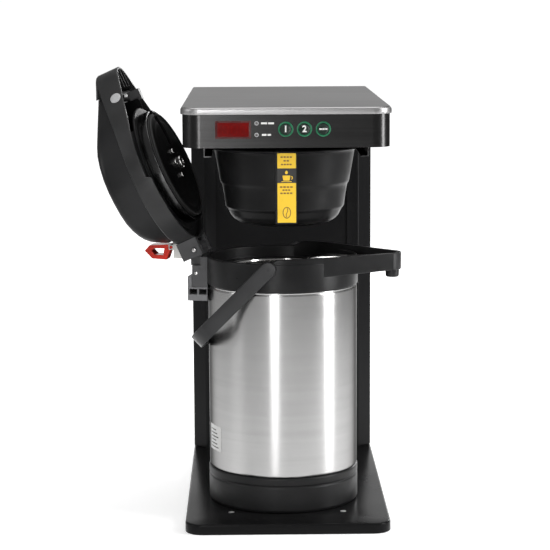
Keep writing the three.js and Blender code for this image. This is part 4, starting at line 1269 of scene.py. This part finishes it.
def polar(angle, distance, z):
    """A point round the airpot: angle 0 is straight in front, and positive is to the user's right."""
    a = math.radians(angle)
    return (distance * math.sin(a), AIRPOT_Y - distance * math.cos(a), z)


def build_studio():
    """The lights, and a floor that glows white in a wedge and fades to a paler grey beside it."""
    half_side, steps, below = 9, 48, -0.25
    along = [(i / steps - 0.5) * 2 * half_side / MM for i in range(steps + 1)]
    points = [(x, y, below) for x in along for y in along]
    faces = []
    for i in range(steps):
        for j in range(steps):
            a = i * (steps + 1) + j
            faces.append([a, a + steps + 1, a + steps + 2, a + 1])
    mesh = bpy.data.meshes.new("studio_floor")
    mesh.from_pydata([Vector(p) * MM for p in points], [], faces)
    floor = placed("studio_floor", mesh)
    s = Shader("studio_paper", specular=0.1)
    s.roughness(s.between(s.noise(20, 3), 0.6, 0.75))
    split = s.node("ShaderNodeSeparateXYZ")
    s.link(s.place, split.inputs["Vector"])
    glow = s.node("ShaderNodeMapRange", interpolation_type="SMOOTHSTEP")
    set_range(glow, 0.0, 0.85, -0.9, 0.7)
    s.link(split.outputs["Y"], glow.inputs["Value"])
    s.bsdf.inputs["Emission Color"].default_value = (1, 1, 1, 1)
    half_at_origin, spread, fade = 0.4, 0.17, 1.1
    reach = s.maths("MULTIPLY_ADD", split.outputs["Y"], spread, half_at_origin)
    beyond = s.maths("SUBTRACT", s.maths("ABSOLUTE", split.outputs["X"]), reach)
    sweep = s.between(beyond, 1, 0, 0.0, fade)
    s.link(s.maths("MULTIPLY", glow.outputs["Result"], sweep), s.bsdf.inputs["Emission Strength"])
    pale = s.blend(s.between(s.noise(3, 4), 0, 1), (0.88, 0.88, 0.88), (0.91, 0.91, 0.91))
    s.colour(s.blend(sweep, (0.5, 0.5, 0.5), pale))
    mesh.materials.append(s.material)

    world = bpy.data.worlds.new("studio")
    bpy.context.scene.world = world
    world.use_nodes = True
    tree = world.node_tree
    background = tree.nodes["Background"]
    place = tree.nodes.new("ShaderNodeTexCoord").outputs["Generated"]
    split = tree.nodes.new("ShaderNodeSeparateXYZ")
    tree.links.new(place, split.inputs["Vector"])
    ramp = tree.nodes.new("ShaderNodeMapRange")
    ramp.interpolation_type = "SMOOTHSTEP"
    set_range(ramp, 0.3, 1.02, 0.86, 0.97)
    tree.links.new(split.outputs["Y"], ramp.inputs["Value"])
    tree.links.new(ramp.outputs["Result"], background.inputs["Color"])
    background.inputs["Strength"].default_value = 1.0

    area_light("strip_front", polar(-13, 1.3, 0.62), (0, AIRPOT_Y, 0.3), 0.24, 1.2, 7)
    area_light("strip_right", polar(73, 1.25, 0.62), (0, AIRPOT_Y, 0.3), 0.34, 1.2, 15)
    area_light("fill_left", polar(-75, 2.2, 1.0), (0, -0.1, 0.3), 0.8, 1.2, 8)
    area_light("overhead", (0.0, 0.3, 2.6), (0, 0.3, 0), 2.4, 2.4, 34)
    area_light("back_right", (1.0, 2.0, 0.75), (0, 0, 0.47), 0.5, 0.6, 12)


def build_camera():
    """The photograph's camera, in metres and radians, as fitted to the photo's straight edges."""
    data = bpy.data.cameras.new("camera")
    data.sensor_width = 36
    data.lens = 124.69091
    data.clip_end = 100
    camera = placed("camera", data)
    pitch, yaw, roll = 0.1459, 0.0126, -0.0055
    ahead = Vector((math.sin(yaw) * math.cos(pitch), math.cos(yaw) * math.cos(pitch), -math.sin(pitch)))
    flat_right = Vector((math.cos(yaw), -math.sin(yaw), 0))
    flat_up = flat_right.cross(ahead)
    right = flat_right * math.cos(roll) + flat_up * math.sin(roll)
    up = right.cross(ahead)
    turn = Matrix((right, up, -ahead)).transposed().to_4x4()
    camera.matrix_world = Matrix.Translation((-0.0388, -2.2699, 0.5882)) @ turn
    bpy.context.scene.camera = camera
    bpy.context.scene.view_settings.view_transform = "Standard"


build_camera()
build_studio()
build_base()
build_column()
build_head()
build_controls()
build_basket()
build_pot()
build_collar()
build_hinge()
build_bail()
build_lid()
build_lid_plate()
build_lever()

bpy.context.view_layer.update()
